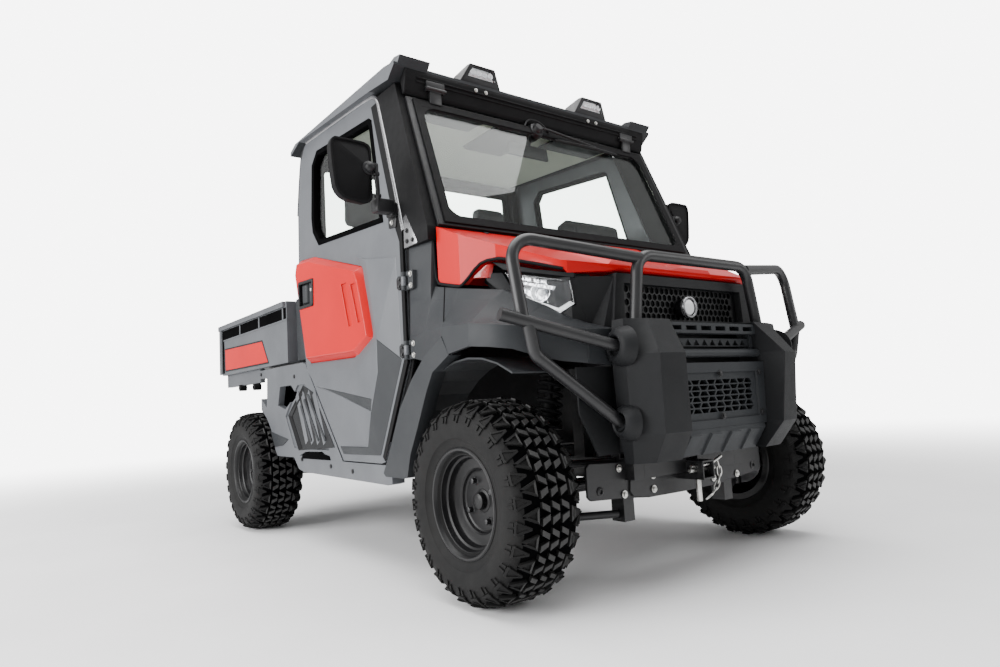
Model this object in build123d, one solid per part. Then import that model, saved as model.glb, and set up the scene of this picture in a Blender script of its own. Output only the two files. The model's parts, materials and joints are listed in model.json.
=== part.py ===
from build123d import *
import os
from math import cos, pi, radians, sin, tan

# Side by side utility vehicle with an enclosed cab and a tipping bed.
# Millimetres. X runs forward from the front axle, Y to the vehicle's left, Z up from the floor.
# save() moves the model along X so that its origin lies under the middle of the vehicle.

# ---- driving sizes --------------------------------------------------------------------
wheelbase = 2150.0
track = 1406.0
front_overhang = 476.0
rear_overhang = 635.0
front_axle_x = (wheelbase + rear_overhang - front_overhang) / 2
rear_x = -wheelbase

tyre_radius = 318.0
tyre_width = 256.0
tyre_wall = 15.0
tyre_pitches = 26
lug_deep = 12.0
lug_root = 60.0
groove_wide = 26.0
bead_radius = 152.0
bead_gap = 0.1
rim_width = 196.0
rim_flange = 170.0
rim_wall = 5.0
flange_wall = 8.0
disc_offset = 20.0
disc_wall = 6.0
spindle_radius = 32.0
spindle_gap = 0.5

kingpin_inset = 95.0
kingpin_half = track / 2 - kingpin_inset
post_radius = 22.0
arm_drop = 86.0
arm_tube = 13.0
eye_radius = 24.0
eye_half = 14.0
pin_radius = 9.0
pin_gap = 0.4
sill_in = 55.0
steer_arm = 96.0
tie_radius = 8.0

rail_half = 275.0
rail_width = 50.0
rail_bottom = 345.0
rail_height = 70.0
rail_top = rail_bottom + rail_height
rail_in = rail_half - rail_width / 2
rail_out = rail_half + rail_width / 2

cab_half = 745.0
tumblehome = 40.0
roof_half = cab_half - tumblehome
waist_z = 1270.0
cab_top_z = 1945.0
door_wall = 38.0
door_gap = 8.0
floor_wall = 15.0
floor_top = rail_top + floor_wall
cab_rear_x = -1480.0
pane_wall = 6.0
hinge_x = -393.0
hinge_out = 8.0
hinge_radius = 11.0
hinge_pin = 6.0
hinge_tall = 34.0
hinge_y = cab_half + hinge_out
hinge_heights = (829.0, 1083.0)

roof_wall = 26.0
roof_overhang = 30.0
lamp_y = 324.0

cowl_x = -226.0
cowl_z = 1256.0
hood_rear_x = cowl_x + 6
hood_pin = 3.0
hood_pin_x = hood_rear_x + 6
hood_pin_z = cowl_z - 10
hood_hinges = (-500.0, 500.0)
hood_wall = 22.0
hood_front_x = 276.0
hood_front_z = 1049.0

grille_half = 322.0
grille_low = 871.0
grille_high = 988.0
fascia_half = 385.0
fascia_low = 838.0
fascia_high = 1028.0
fascia_x = 286.0
mesh_pitch = 26.0
mesh_bar = 5.0
mesh_wall = 8.0

bar_radius = 19.5
hoop_half = 300.0
hoop_x = 332.0
hoop_z = 1075.0

bed_gap = 125.0
bed_front_x = cab_rear_x - bed_gap
tail_lamp_wall = 10.0
bed_rear_x = rear_x - rear_overhang + tail_lamp_wall
bed_half = cab_half
bed_floor_z = 877.0
bed_floor_wall = 26.0
bed_top_z = 1190.0
bed_wall = 32.0
gate_wall = 30.0
pivot_x = rear_x - 263.0
pivot_z = 771.0
pivot_radius = 15.0

cylinder_y = 395.0
cylinder_radius = 25.0
rod_radius = 12.0
cylinder_pin = 10.0
barrel_length = 430.0
base_x = rear_x + 100.0
base_z = 370.0
rod_eye_x = rear_x + 193.0
rod_eye_z = 835.0

seat_top = 850.0
seat_wall = 110.0
seat_width = 400.0
seat_gap = 15.0
wheel_radius = 176.0
wheel_grip = 15.0
wheel_x = -735.0
wheel_y = cab_half - 365
wheel_z = 1245.0
column_tilt = 32.0

sides = {"left": 1.0, "right": -1.0}
os.makedirs("parts", exist_ok=True)


# ---- shapes ---------------------------------------------------------------------------
def block(x0, x1, y0, y1, z0, z1):
    return Pos(x0, y0, z0) * Box(x1 - x0, y1 - y0, z1 - z0, align=(Align.MIN, Align.MIN, Align.MIN))


def side_slab(outline, y0, y1):
    """Outline in (x, z), from y0 to y1."""
    plane = Plane(origin=(0, y1, 0), x_dir=(1, 0, 0), z_dir=(0, -1, 0))
    return extrude(plane * Polygon(*outline, align=None), amount=y1 - y0, dir=(0, -1, 0))


def front_slab(outline, x0, x1):
    """Outline in (y, z), from x0 to x1."""
    plane = Plane(origin=(x0, 0, 0), x_dir=(0, 1, 0), z_dir=(1, 0, 0))
    return extrude(plane * Polygon(*outline, align=None), amount=x1 - x0, dir=(1, 0, 0))


def plan_slab(outline, z0, z1):
    """Outline in (x, y), from z0 to z1."""
    return extrude(Pos(0, 0, z0) * Polygon(*outline, align=None), amount=z1 - z0, dir=(0, 0, 1))


def rod(start, end, radius):
    start, end = Vector(*start), Vector(*end)
    plane = Plane(origin=start, z_dir=end - start)
    base = (Align.CENTER, Align.CENTER, Align.MIN)
    return plane * Cylinder(radius, (end - start).length, align=base)


def tube(points, radius, bend):
    """Round tube along straight runs joined by tangent arcs of one bend radius."""
    spots = [Vector(*point) for point in points]
    pieces = []
    start = spots[0]
    for before, corner, after in zip(spots, spots[1:], spots[2:]):
        way_in = (corner - before).normalized()
        way_out = (after - corner).normalized()
        turn = radians(way_in.get_angle(way_out))
        reach = bend * tan(turn / 2)
        centre = corner + (way_out - way_in).normalized() * (bend / cos(turn / 2))
        middle = centre + (corner - centre).normalized() * bend
        arc_start = corner - way_in * reach
        arc_end = corner + way_out * reach
        pieces.append(Line(start, arc_start))
        pieces.append(ThreePointArc(arc_start, middle, arc_end))
        start = arc_end
    pieces.append(Line(start, spots[-1]))
    section = Plane(origin=spots[0], z_dir=spots[1] - spots[0]) * Circle(radius)
    return sweep(section, path=Wire(pieces))


def lofted(sections):
    """Straight-sided solid through closed outlines with equal numbers of corners."""
    wires = [Wire.make_polygon([Vector(*spot) for spot in section]) for section in sections]
    return Part() + Solid.make_loft(wires, ruled=True)


def turned(profile, centre):
    """Profile in (radius, y) turned about the axle line through centre."""
    face = Plane.XY * Polygon(*profile, align=None)
    return Pos(*centre) * revolve(face, Axis.Y)


def mirrored(shape, side):
    if side < 0:
        return mirror(shape, about=Plane.XZ)
    return shape


def both(shape):
    return shape + mirror(shape, about=Plane.XZ)


def save(name, shape):
    shape = Pos(front_axle_x, 0, 0) * shape
    export_step(shape, f"parts/{name}.step")


def line_at(points, value):
    """Second coordinate on the line through two (first, second) points."""
    (a, b), (c, d) = points
    return b + (value - a) * (d - b) / (c - a)


# ---- wheels ---------------------------------------------------------------------------
def ring_face(radius, y):
    """Flat-sided ring outline with one side for each pitch of the tread, a corner at the bottom."""
    turns = [2 * pi * step / tyre_pitches for step in range(tyre_pitches)]
    return make_face(Polyline(*[(radius * sin(turn), y, -radius * cos(turn)) for turn in turns], close=True))


def tyre():
    """Hollow casing with a groove between shoulder lugs at each pitch, half a pitch apart on the two sides."""
    half = tyre_width / 2
    bead = rim_width / 2
    bead_corner = (bead_radius + bead_gap) / cos(pi / tyre_pitches)
    # radius, y
    outside = [(rim_flange + 8, -bead), (tyre_radius * 0.76, -half), (tyre_radius * 0.91, -half + 6),
               (tyre_radius, -half + 62)]
    inside = [(bead_corner, -bead - 1), (tyre_radius - 2 * tyre_wall, 0), (bead_corner, bead + 1)]
    shape = loft([ring_face(*spot) for spot in outside + [(r, -y) for r, y in outside[::-1]]], ruled=True)
    shape -= loft([ring_face(*spot) for spot in inside], ruled=True)
    groove_end = half + lug_deep
    groove = Box(groove_wide, groove_end - lug_root, 2 * lug_deep)
    for side, start in ((1, 0.5), (-1, 0.0)):
        across = side * (lug_root + groove_end) / 2
        shape -= [Rot(0, 360 * (step + start) / tyre_pitches, 0) * Pos(0, across, -tyre_radius) * groove
                  for step in range(tyre_pitches)]
    return shape


def rim(centre, side):
    """Wheel with its dished disc set towards the outside, a stub of a hub cap in the middle."""
    flange = rim_width / 2
    barrel = bead_radius - rim_wall
    # radius, y
    outline = [
        (barrel, -flange - flange_wall), (rim_flange, -flange - flange_wall),
        (rim_flange, -flange), (bead_radius, -flange), (bead_radius, flange),
        (rim_flange, flange), (rim_flange, flange + flange_wall),
        (barrel, flange + flange_wall), (barrel, disc_offset + 50 + disc_wall),
        (barrel - 16, disc_offset + 20 + disc_wall), (barrel - 48, disc_offset + 14 + disc_wall),
        (barrel - 54, disc_offset + disc_wall), (spindle_radius + spindle_gap, disc_offset + disc_wall),
        (spindle_radius + spindle_gap, disc_offset), (barrel - 50, disc_offset),
        (barrel - 44, disc_offset + 14), (barrel - 12, disc_offset + 20),
        (barrel, disc_offset + 42),
    ]
    cap_bottom = disc_offset + disc_wall
    cap = turned([(0, cap_bottom), (spindle_radius + 4, cap_bottom), (spindle_radius, cap_bottom + 24),
                  (0, cap_bottom + 24)], (0, 0, 0))
    wheel = turned(outline, (0, 0, 0)) + cap
    return Pos(*centre) * mirrored(wheel, side)


axles = {"front": 0.0, "rear": rear_x}
plain_tyre = tyre()
for axle, axle_x in axles.items():
    for side_name, side in sides.items():
        centre = (axle_x, side * track / 2, tyre_radius)
        save(f"tyre_{axle}_{side_name}", Pos(*centre) * mirrored(plain_tyre, side))
        save(f"rim_{axle}_{side_name}", rim(centre, side))


# ---- hubs, knuckles and suspension ----------------------------------------------------
def hub(axle_x):
    """Spindle, flange and brake disc of a left wheel."""
    outer = track / 2
    flange_face = outer + disc_offset - 1
    spindle = rod((axle_x, kingpin_half, tyre_radius),
                  (axle_x, outer + disc_offset + disc_wall - 1, tyre_radius), spindle_radius)
    flange = rod((axle_x, flange_face - 14, tyre_radius), (axle_x, flange_face - 4, tyre_radius),
                 spindle_radius + 32)
    disc = rod((axle_x, kingpin_half + 42, tyre_radius), (axle_x, kingpin_half + 50, tyre_radius),
               bead_radius - 50)
    caliper = block(axle_x + 50, axle_x + 104, kingpin_half + 28, kingpin_half + 64,
                    tyre_radius - 30, tyre_radius + 44)
    bridge = block(axle_x, axle_x + 70, kingpin_half + 26, kingpin_half + 36,
                   tyre_radius - 20, tyre_radius + 30)
    return spindle + flange + disc + caliper + bridge


def knuckle():
    """Front left upright with a pin at each end for the arms and an arm for the tie rod."""
    low = tyre_radius - arm_drop + eye_half + pin_gap
    high = tyre_radius + arm_drop - eye_half - pin_gap
    post = rod((0, kingpin_half, low), (0, kingpin_half, high), post_radius)
    pins = rod((0, kingpin_half, low - eye_radius), (0, kingpin_half, high + eye_radius), pin_radius)
    arm = block(-steer_arm, 0, kingpin_half - 9, kingpin_half + 9, tyre_radius - 40, tyre_radius - 28)
    boss = rod((-steer_arm, kingpin_half, tyre_radius - 40), (-steer_arm, kingpin_half, tyre_radius - 28), 14)
    stud = rod((-steer_arm, kingpin_half, tyre_radius - 40), (-steer_arm, kingpin_half, tyre_radius - 10),
               pin_radius - 3)
    return post + pins + arm + boss + stud + hub(0)


rack_x = -steer_arm
rack_z = tyre_radius - 17.0
boot_end = kingpin_half - 200
tie_inside = 20.0
boot_deep = tie_inside + 55


def tie_rod():
    """Rod from the steering arm to inside the rack's open boot."""
    bar = rod((rack_x, boot_end - tie_inside, rack_z), (rack_x, kingpin_half - 8, rack_z), tie_radius)
    eye = rod((rack_x, kingpin_half, rack_z - 9), (rack_x, kingpin_half, rack_z + 9), 14)
    hole = rod((rack_x, kingpin_half, rack_z - 20), (rack_x, kingpin_half, rack_z + 20),
               pin_radius - 3 + pin_gap)
    return bar + eye - hole


def wishbone(axle_x, height, spread):
    """Two tubes from the rail to one eye on the kingpin line."""
    root_y = rail_out
    eye_y = kingpin_half
    eye = rod((axle_x, eye_y, height - eye_half), (axle_x, eye_y, height + eye_half), eye_radius)
    hole = rod((axle_x, eye_y, height - eye_radius), (axle_x, eye_y, height + eye_radius),
               pin_radius + pin_gap)
    shape = eye
    for end in (-spread, spread):
        shape += rod((axle_x + end, root_y, height), (axle_x, eye_y - eye_radius / 2, height), arm_tube)
    shape -= block(axle_x - spread - 60, axle_x + spread + 60, 0, root_y, height - 40, height + 40)
    return shape - hole


shock_x = 0.0
shock_foot_y = 462.0
arm_low = tyre_radius - arm_drop
arm_high = tyre_radius + arm_drop
for side_name, side in sides.items():
    save(f"knuckle_{side_name}", mirrored(knuckle(), side))
    save(f"tie_rod_{side_name}", mirrored(tie_rod(), side))

spread = 166.0
front_arms = wishbone(0, arm_low, spread) + wishbone(0, arm_high, spread)
for root_x in (-spread - 28, spread - 28):
    front_arms += block(root_x, root_x + 56, rail_in, rail_out, arm_low - 25, rail_bottom)
front_arms += block(shock_x - 84, shock_x + 84, shock_foot_y - 16, shock_foot_y + 16, arm_high - 8,
                    arm_high + arm_tube)
save("front_suspension", both(front_arms))

# shock absorbers: top and bottom ends, as x, y, z
shock_radius = 24.0
seat_radius = 48.0
shock_eye = 19.0
front_shock = ((shock_x, shock_foot_y, arm_high + arm_tube + shock_eye), (shock_x, 400.0, 742.0))
rear_shock_x = rear_x - 60
rear_shock = ((rear_shock_x, 500.0, tyre_radius + 30), (rear_shock_x, 420.0, 700.0))


def shock(bottom, top):
    """Damper with its two spring seats and an eye at each end."""
    low, high = Vector(*bottom), Vector(*top)
    way = (high - low).normalized()
    length = (high - low).length
    body = rod(bottom, low + way * length * 0.62, shock_radius)
    stem = rod(bottom, top, 9.0)
    shape = body + stem
    for share in (0.16, 0.88):
        seat_at = low + way * length * share
        shape += rod(seat_at, seat_at + way * 9.0, seat_radius)
    for end in (low, high):
        shape += rod(end - Vector(20, 0, 0), end + Vector(20, 0, 0), shock_eye)
    return shape


save("shock_absorbers", both(shock(*front_shock) + shock(*rear_shock)))


# Rear axle: housing in the middle, shafts to the hubs, a trailing arm and upright each side.
housing_half = 120.0
trail_y = 485.0
rear_hub = hub(rear_x)
rear_shaft = rod((rear_x, 0, tyre_radius), (rear_x, kingpin_half + 10, tyre_radius), 17.0)
boot = rod((rear_x, housing_half, tyre_radius), (rear_x, housing_half + 70, tyre_radius), 40.0)
housing = rod((rear_x, 0, tyre_radius), (rear_x, housing_half, tyre_radius), 95.0)
upright = rod((rear_x, kingpin_half - 60, tyre_radius), (rear_x, kingpin_half + 8, tyre_radius), 52.0)
trail = tube([(rear_x, kingpin_half - 40, tyre_radius - 14), (rear_x + 150, trail_y, tyre_radius - 14),
              (rear_x + 620, trail_y, tyre_radius - 14)], 24.0, 90.0)
trail_root = block(rear_x + 590, rear_x + 650, rail_out, trail_y + 30, rail_bottom - 60, rail_bottom)
shock_foot = block(rear_shock_x - 20, rear_shock_x + 20, 470, 530, tyre_radius - 14, rear_shock[0][2] - shock_eye)
shock_foot += block(rear_shock_x - 20, rear_x + 10, 480, kingpin_half - 50, tyre_radius - 24, tyre_radius - 4)
rear_half = rear_hub + rear_shaft + boot + housing + upright + trail + trail_root + shock_foot
save("rear_axle", both(rear_half))


# ---- chassis --------------------------------------------------------------------------
rail_front_x = 250.0
rail_rear_x = bed_rear_x + 170
tower_top = front_shock[1][2] + 24
rails = block(rail_rear_x, rail_front_x, rail_in, rail_out, rail_bottom, rail_top)
frame = rails
# x of each cross member
for member_x in (-500.0, -1000.0, cab_rear_x, rear_x + 330, rail_rear_x):
    frame += block(member_x, member_x + 50, 0, rail_out, rail_bottom, rail_top)
# floor outriggers that carry the sills
for outrigger_x in (-640.0, -1040.0, cab_rear_x + 20):
    frame += block(outrigger_x, outrigger_x + 40, rail_out, cab_half - sill_in, rail_bottom + 20, rail_top)
shock_y = front_shock[1][1]
tower = block(shock_x - 26, shock_x + 26, rail_out - 40, rail_out, rail_top, tower_top)
for cheek_x in (shock_x - 26, shock_x + 21):
    tower += block(cheek_x, cheek_x + 5, rail_out - 10, shock_y + 28, tower_top - 40, tower_top)
frame += tower
frame += block(150, 190, rail_in, rail_out, rail_top, fascia_low + 100)
frame += block(150, 190, 0, rail_out, fascia_low + 60, fascia_low + 100)
frame += block(shock_x, 190, rail_in, rail_in + 30, tower_top - 40, tower_top)
# bed supports
frame += block(pivot_x - 30, pivot_x + 30, rail_in, rail_out, rail_top, pivot_z + 28)
rest_top = bed_floor_z - 5.0
frame += block(rear_x + 480, rear_x + 530, rail_in, rail_out, rail_top, rest_top)
rear_tower_y = rear_shock[1][1]
frame += block(rear_shock_x - 24, rear_shock_x + 24, rail_in, rail_out, rail_top, rear_shock[1][2] + 24)
for cheek_x in (rear_shock_x - 26, rear_shock_x + 21):
    frame += block(cheek_x, cheek_x + 5, rail_out - 10, rear_tower_y + 26, rear_shock[1][2] - 22,
                   rear_shock[1][2] + 24)
lug_gap = 2.0
for lug_y in (cylinder_y - cylinder_radius - lug_gap - 10, cylinder_y + cylinder_radius + lug_gap):
    frame += block(base_x - 24, base_x + 24, lug_y, lug_y + 10, base_z - 24, base_z + 40)
frame += block(base_x - 84, base_x - 48, rail_out, cylinder_y + cylinder_radius + lug_gap + 10,
               base_z - 24, base_z + 16)
for lug_y in (cylinder_y - cylinder_radius - lug_gap - 10, cylinder_y + cylinder_radius + lug_gap):
    frame += block(base_x - 84, base_x - 20, lug_y, lug_y + 10, base_z - 24, base_z + 16)
frame = both(frame)
pivot_hole = rod((pivot_x, -rail_out - 1, pivot_z), (pivot_x, rail_out + 1, pivot_z),
                 pivot_radius + pin_gap)
frame -= pivot_hole
frame += rod((base_x, cylinder_y - cylinder_radius - lug_gap - 10, base_z),
             (base_x, cylinder_y + cylinder_radius + lug_gap + 10, base_z), cylinder_pin)
hitch_hole = 8.2
receiver_out = 32.0
receiver_in = 25.8
receiver_z = 352.0
receiver_tip = 318.0
receiver_root = 170.0
tail_tip = bed_rear_x + 95


def receiver(x0, x1, z):
    shape = block(x0, x1, -receiver_out, receiver_out, z - receiver_out, z + receiver_out)
    return shape - block(x0 - 1, x1 + 1, -receiver_in, receiver_in, z - receiver_in, z + receiver_in)


rear_hitch = receiver(tail_tip, rail_rear_x, receiver_z + 28)
rear_hitch += block(tail_tip + 60, rail_rear_x, receiver_out, rail_out, rail_bottom + 10, rail_top)
rear_hitch += block(tail_tip + 60, rail_rear_x, -rail_out, -receiver_out, rail_bottom + 10, rail_top)
tail_pin_x = tail_tip + 33
rear_hitch -= rod((tail_pin_x, -100, receiver_z + 28), (tail_pin_x, 100, receiver_z + 28), hitch_hole)
frame += rear_hitch
rack = rod((rack_x, -boot_end + boot_deep + 5, rack_z), (rack_x, boot_end - boot_deep - 5, rack_z), 26.0)
boots = rod((rack_x, boot_end - boot_deep - 7, rack_z), (rack_x, boot_end, rack_z), 36.0)
boots -= rod((rack_x, boot_end - boot_deep, rack_z), (rack_x, boot_end + 1, rack_z), 29.0)
rack_mount = block(rack_x - 20, rack_x + 20, rail_in, rail_in + 24, rack_z, rail_bottom)
frame += rack + both(boots + rack_mount)
save("chassis_frame", frame)

front_case = rod((0, -70, tyre_radius), (0, 70, tyre_radius), 64.0)
shafts = rod((0, 0, tyre_radius), (0, kingpin_half - post_radius - 6, tyre_radius), 14.0)
shafts += rod((0, 70, tyre_radius), (0, 130, tyre_radius), 34.0)
case_mount = block(-40, 40, 0, rail_in, rail_top - 30, rail_top)
case_mount += block(-40, 40, 0, 60, tyre_radius, rail_top)
save("front_axle", both(shafts + case_mount) + front_case)

engine = block(rear_x + 150, rear_x + 470, -210, 230, rail_top, 800)
engine += block(rear_x - 60, rear_x + 160, -90, 90, tyre_radius + 95, rail_top + 120)
save("engine_block", engine)


# ---- cab floor and walls --------------------------------------------------------------
toe_foot_x = -600.0
toe_top_x = -420.0
toe_top_z = 800.0
cab_inner = cab_half - door_wall - door_gap
floor_path = [
    (cab_rear_x, rail_top), (toe_foot_x + 8, rail_top), (toe_top_x + floor_wall, toe_top_z - 6),
    (toe_top_x + floor_wall, cowl_z - 70), (toe_top_x, cowl_z - 70), (toe_top_x, toe_top_z),
    (toe_foot_x, floor_top), (cab_rear_x, floor_top),
]
cowl_outline = [(toe_top_x + floor_wall, 1120), (toe_top_x + floor_wall, cowl_z - 20), (cowl_x - 34, cowl_z - 20),
                (cowl_x - 8, cowl_z - 34), (cowl_x - 8, 1120)]
cowl = side_slab(cowl_outline, -690, 690) - side_slab(
    [(toe_top_x + floor_wall + 10, 1100), (toe_top_x + floor_wall + 10, cowl_z - 50),
     (cowl_x - 20, cowl_z - 50), (cowl_x - 20, 1100)], -670, 670)
hood_arm = Part()
for arm_y in hood_hinges:
    arm = side_slab([(cowl_x - 10, hood_pin_z - 46), (cowl_x - 10, hood_pin_z - 24),
                     (hood_pin_x - 7, hood_pin_z - 2), (hood_pin_x + 6, hood_pin_z - 4),
                     (hood_pin_x, hood_pin_z - 46)], arm_y - 8, arm_y + 8)
    arm += rod((hood_pin_x, arm_y - 8, hood_pin_z), (hood_pin_x, arm_y + 8, hood_pin_z), hood_pin + 4)
    arm -= rod((hood_pin_x, arm_y - 9, hood_pin_z), (hood_pin_x, arm_y + 9, hood_pin_z), hood_pin + pin_gap)
    hood_arm += arm
save("cab_floor", side_slab(floor_path, -cab_inner, cab_inner) + cowl + hood_arm)

seat_back_x = -1330.0
seat_front_x = -900.0
box_top = seat_top - seat_wall
seat_box = side_slab([(cab_rear_x + 20, floor_top), (seat_front_x + 40, floor_top),
                      (seat_front_x + 20, box_top), (cab_rear_x + 20, box_top)],
                     -cab_inner + 60, cab_inner - 60)

# door outline and window, as x, z
door_outline = [
    (-405, waist_z), (-405, 785), (-609, 418), (-640, 410), (-985, 410), (-1367, 845),
    (-1430, 1180), (-1440, 1365), (-1465, 1590), (-1455, 1870), (-1400, 1945), (-680, 1905),
    (-630, 1870),
]
window_outline = [(-565, 1352), (-680, 1800), (-700, 1815), (-1240, 1855), (-1290, 1800),
                  (-1275, 1540), (-1255, 1470), (-1185, 1397)]
lean = (roof_half - cab_half) / (cab_top_z - waist_z)
crown_z = cab_top_z + 60
crown_half = cab_half + lean * (crown_z - waist_z)
pane_in = door_wall / 2 - pane_wall / 2


def wall_section(outer_in, wall):
    """Cross section of a sheet that follows the cab's side, as y, z."""
    return [(cab_half - outer_in, 0), (cab_half - outer_in, waist_z), (crown_half - outer_in, crown_z),
            (crown_half - outer_in - wall, crown_z), (cab_half - outer_in - wall, waist_z),
            (cab_half - outer_in - wall, 0)]


def wall_piece(outline, outer_in, wall):
    xs = [x for x, z in outline]
    sheet = front_slab(wall_section(outer_in, wall), min(xs) - 10, max(xs) + 10)
    return sheet & side_slab(outline, 300, cab_half + 60)


insert_outline = [(-1430, 1285), (-1400, 1358), (-1240, 1345), (-745, 1207), (-715, 1150),
                  (-640, 895), (-788, 838), (-1312, 849)]
insert_seat = 6.0
insert_proud = 30.0
recess = [(-1360, 1240), (-1182, 1232), (-1189, 1106), (-1358, 1108)]
groove_depth = 9.0
grooves = [[(-892, 1154), (-842, 1154), (-788, 967), (-832, 967)],
           [(-802, 1139), (-756, 1139), (-704, 972), (-744, 972)]]


def door_shell():
    shell = wall_piece(door_outline, 0, door_wall)
    shell -= side_slab(window_outline, 300, 900)
    shell -= side_slab(insert_outline, cab_half - insert_seat, 900)
    for hinge_z in hinge_heights:
        shell += block(hinge_x - 60, hinge_x, cab_half, cab_half + 5, hinge_z - 14, hinge_z + 14)
        shell += rod((hinge_x, hinge_y, hinge_z - hinge_tall / 2), (hinge_x, hinge_y, hinge_z + hinge_tall / 2),
                     hinge_radius)
        shell -= rod((hinge_x, hinge_y, hinge_z - hinge_tall), (hinge_x, hinge_y, hinge_z + hinge_tall),
                     hinge_pin + pin_gap)
    return shell


def body_hinge(hinge_z):
    """Pin with a lug above and below the door's barrel, on a leaf on the body."""
    half = hinge_tall / 2 + 1
    shape = rod((hinge_x, hinge_y, hinge_z - half - 16), (hinge_x, hinge_y, hinge_z + half + 16), hinge_pin)
    for low in (hinge_z - half - 16, hinge_z + half):
        shape += rod((hinge_x, hinge_y, low), (hinge_x, hinge_y, low + 16), hinge_radius)
        shape += block(hinge_x, hinge_x + 60, cab_half, cab_half + 6, low, low + 16)
    shape += block(hinge_x + 24, hinge_x + 60, cab_half - 12, cab_half + 6, hinge_z - half - 16,
                   hinge_z + half + 16)
    return shape


def door_insert():
    """Raised panel with two sunk strips and a recessed pull."""
    base = cab_half - insert_seat
    low = [(x, base, z) for x, z in insert_outline]
    high = [(x, cab_half + insert_proud, z) for x, z in inset(insert_outline, 26)]
    panel = lofted([low, high])
    panel -= side_slab(recess, cab_half - insert_seat + 4, 900)
    for groove in grooves:
        panel -= side_slab(groove, cab_half + insert_proud - groove_depth, 900)
    pull = side_slab(inset(recess, 22), base + 4, base + 22)
    return panel + pull


def inset(outline, amount):
    """Outline moved inwards by one amount on every side."""
    face = Polygon(*outline, align=None).face()
    ring = offset(face.outer_wire(), -amount, kind=Kind.INTERSECTION)
    wire = ring.wire() if hasattr(ring, "wire") else ring
    spots = [(v.X, v.Y) for v in wire.vertices()]
    nearest = [min(spots, key=lambda s: (s[0] - x) ** 2 + (s[1] - z) ** 2) for x, z in outline]
    return nearest


mirror_centre = (-424.0, cab_half + 185, 1486.0)


def door_mirror():
    x, y, z = mirror_centre
    front = [(x + 22, y - 62, z - 100), (x + 22, y + 62, z - 100), (x + 22, y + 62, z + 100),
             (x + 22, y - 62, z + 100)]
    middle = [(x, y - 80, z - 118), (x, y + 80, z - 118), (x, y + 80, z + 118), (x, y - 80, z + 118)]
    back = [(x - 40, y - 82, z - 120), (x - 40, y + 82, z - 120), (x - 40, y + 82, z + 120),
            (x - 40, y - 82, z + 120)]
    head = lofted([front, middle, back])
    stalk = tube([(x - 22, y - 60, z - 96), (x - 30, y - 110, z - 128), (x - 42, cab_half + 2, z - 150)],
                 13.0, 30.0)
    foot = wall_piece([(x - 76, z - 184), (x - 20, z - 184), (x - 24, z - 122), (x - 66, z - 122)], -12, 12)
    return head + stalk + foot


left_door = {"door_shell": door_shell(), "door_glass": wall_piece(window_outline, pane_in, pane_wall),
             "door_insert": door_insert(), "mirror": door_mirror()}
for side_name, side in sides.items():
    for piece, shape in left_door.items():
        save(f"{piece}_{side_name}", mirrored(shape, side))


# ---- cab frame, roof and glass --------------------------------------------------------
pillar_wall = 42.0
shield_low = (cowl_x, cowl_z)
shield_high = (-452.0, 1824.0)
pillar_outline = [(cowl_x - 2, cowl_z - 50), (cowl_x - 2, cowl_z), (shield_high[0], shield_high[1]),
                  (-478, 1890), (-622, 1890), (-397, 1274), (-397, 1206)]
beam_in = door_wall + 14
# underside of the roof along the middle plane, as x, z
roof_low = [(-478, 1896), (-640, 1911), (-1392, 1953), (cab_rear_x - roof_overhang, 1916)]
rear_slope = (roof_low[3], roof_low[2])
front_slope = (roof_low[1], roof_low[0])
beam_tall = 30.0
pillar_deep = 60.0
pillar_x = cab_rear_x + pillar_deep
rear_pillar = [(cab_rear_x, floor_top), (cab_rear_x, line_at(rear_slope, cab_rear_x)),
               (pillar_x, line_at(rear_slope, pillar_x)), (pillar_x, floor_top)]
beam_top = [(-590, line_at(front_slope, -590)), roof_low[1], roof_low[2],
            (pillar_x - 2, line_at(rear_slope, pillar_x - 2))]
side_beam = beam_top + [(x, z - beam_tall) for x, z in beam_top[::-1]]


def cab_side():
    front = wall_piece(pillar_outline, 0, pillar_wall)
    rear = wall_piece(rear_pillar, beam_in, pillar_wall)
    beam = wall_piece(side_beam, beam_in, pillar_wall)
    link_top = line_at(front_slope, -600)
    link = wall_piece([(-478, 1866), roof_low[0], (-600, link_top), (-600, link_top - beam_tall)],
                      pillar_wall - 8, 60)
    return front + rear + beam + link


header_half = roof_half - 45
header = side_slab([(-462, 1846), (-478, 1890), (-530, 1890), (-530, 1846)], -header_half, header_half)
rear_header = side_slab([(cab_rear_x, 1880), (cab_rear_x, 1925), (cab_rear_x + 60, 1930),
                         (cab_rear_x + 60, 1885)], 20 - header_half, header_half - 20)
save("cab_frame", both(cab_side()) + header + rear_header)

# top of the roof, as x, z
roof_high = [(cab_rear_x - roof_overhang, 1936), (-1440, 1962), (-1290, 1992), (-1150, 2005),
             (-811, 1998), (-427, 1950), (-427, 1938)]
roof_half_out = roof_half + 33
roof_core = side_slab(roof_low + roof_high, -roof_half_out, roof_half_out)
roof_trim = front_slab([(-roof_half_out, 1800), (-roof_half_out, 1960), (-roof_half_out + 60, 2004),
                        (-300, 2012), (300, 2012), (roof_half_out - 60, 2004), (roof_half_out, 1960),
                        (roof_half_out, 1800)], cab_rear_x - 200, 0)
roof = roof_core & roof_trim
# the underside is hollow above the headliner
liner_half = roof_half - 105
roof_void = side_slab([(-560, 1880), (-640, 1930), (-1380, 1968), (cab_rear_x, 1930),
                       (cab_rear_x, 1880)], -liner_half, liner_half)
roof -= roof_void
brow = side_slab([(-427, 1944), (-404, 1972), (-450, 1980), (-520, 1962), (-520, 1944)], 585, 722)
roof += both(brow)
save("roof_panel", roof)

save("headliner", side_slab([(-530, 1868), (-530, 1886), (pillar_x, 1930), (pillar_x, 1912)],
                            4 - liner_half, liner_half - 4))

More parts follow.
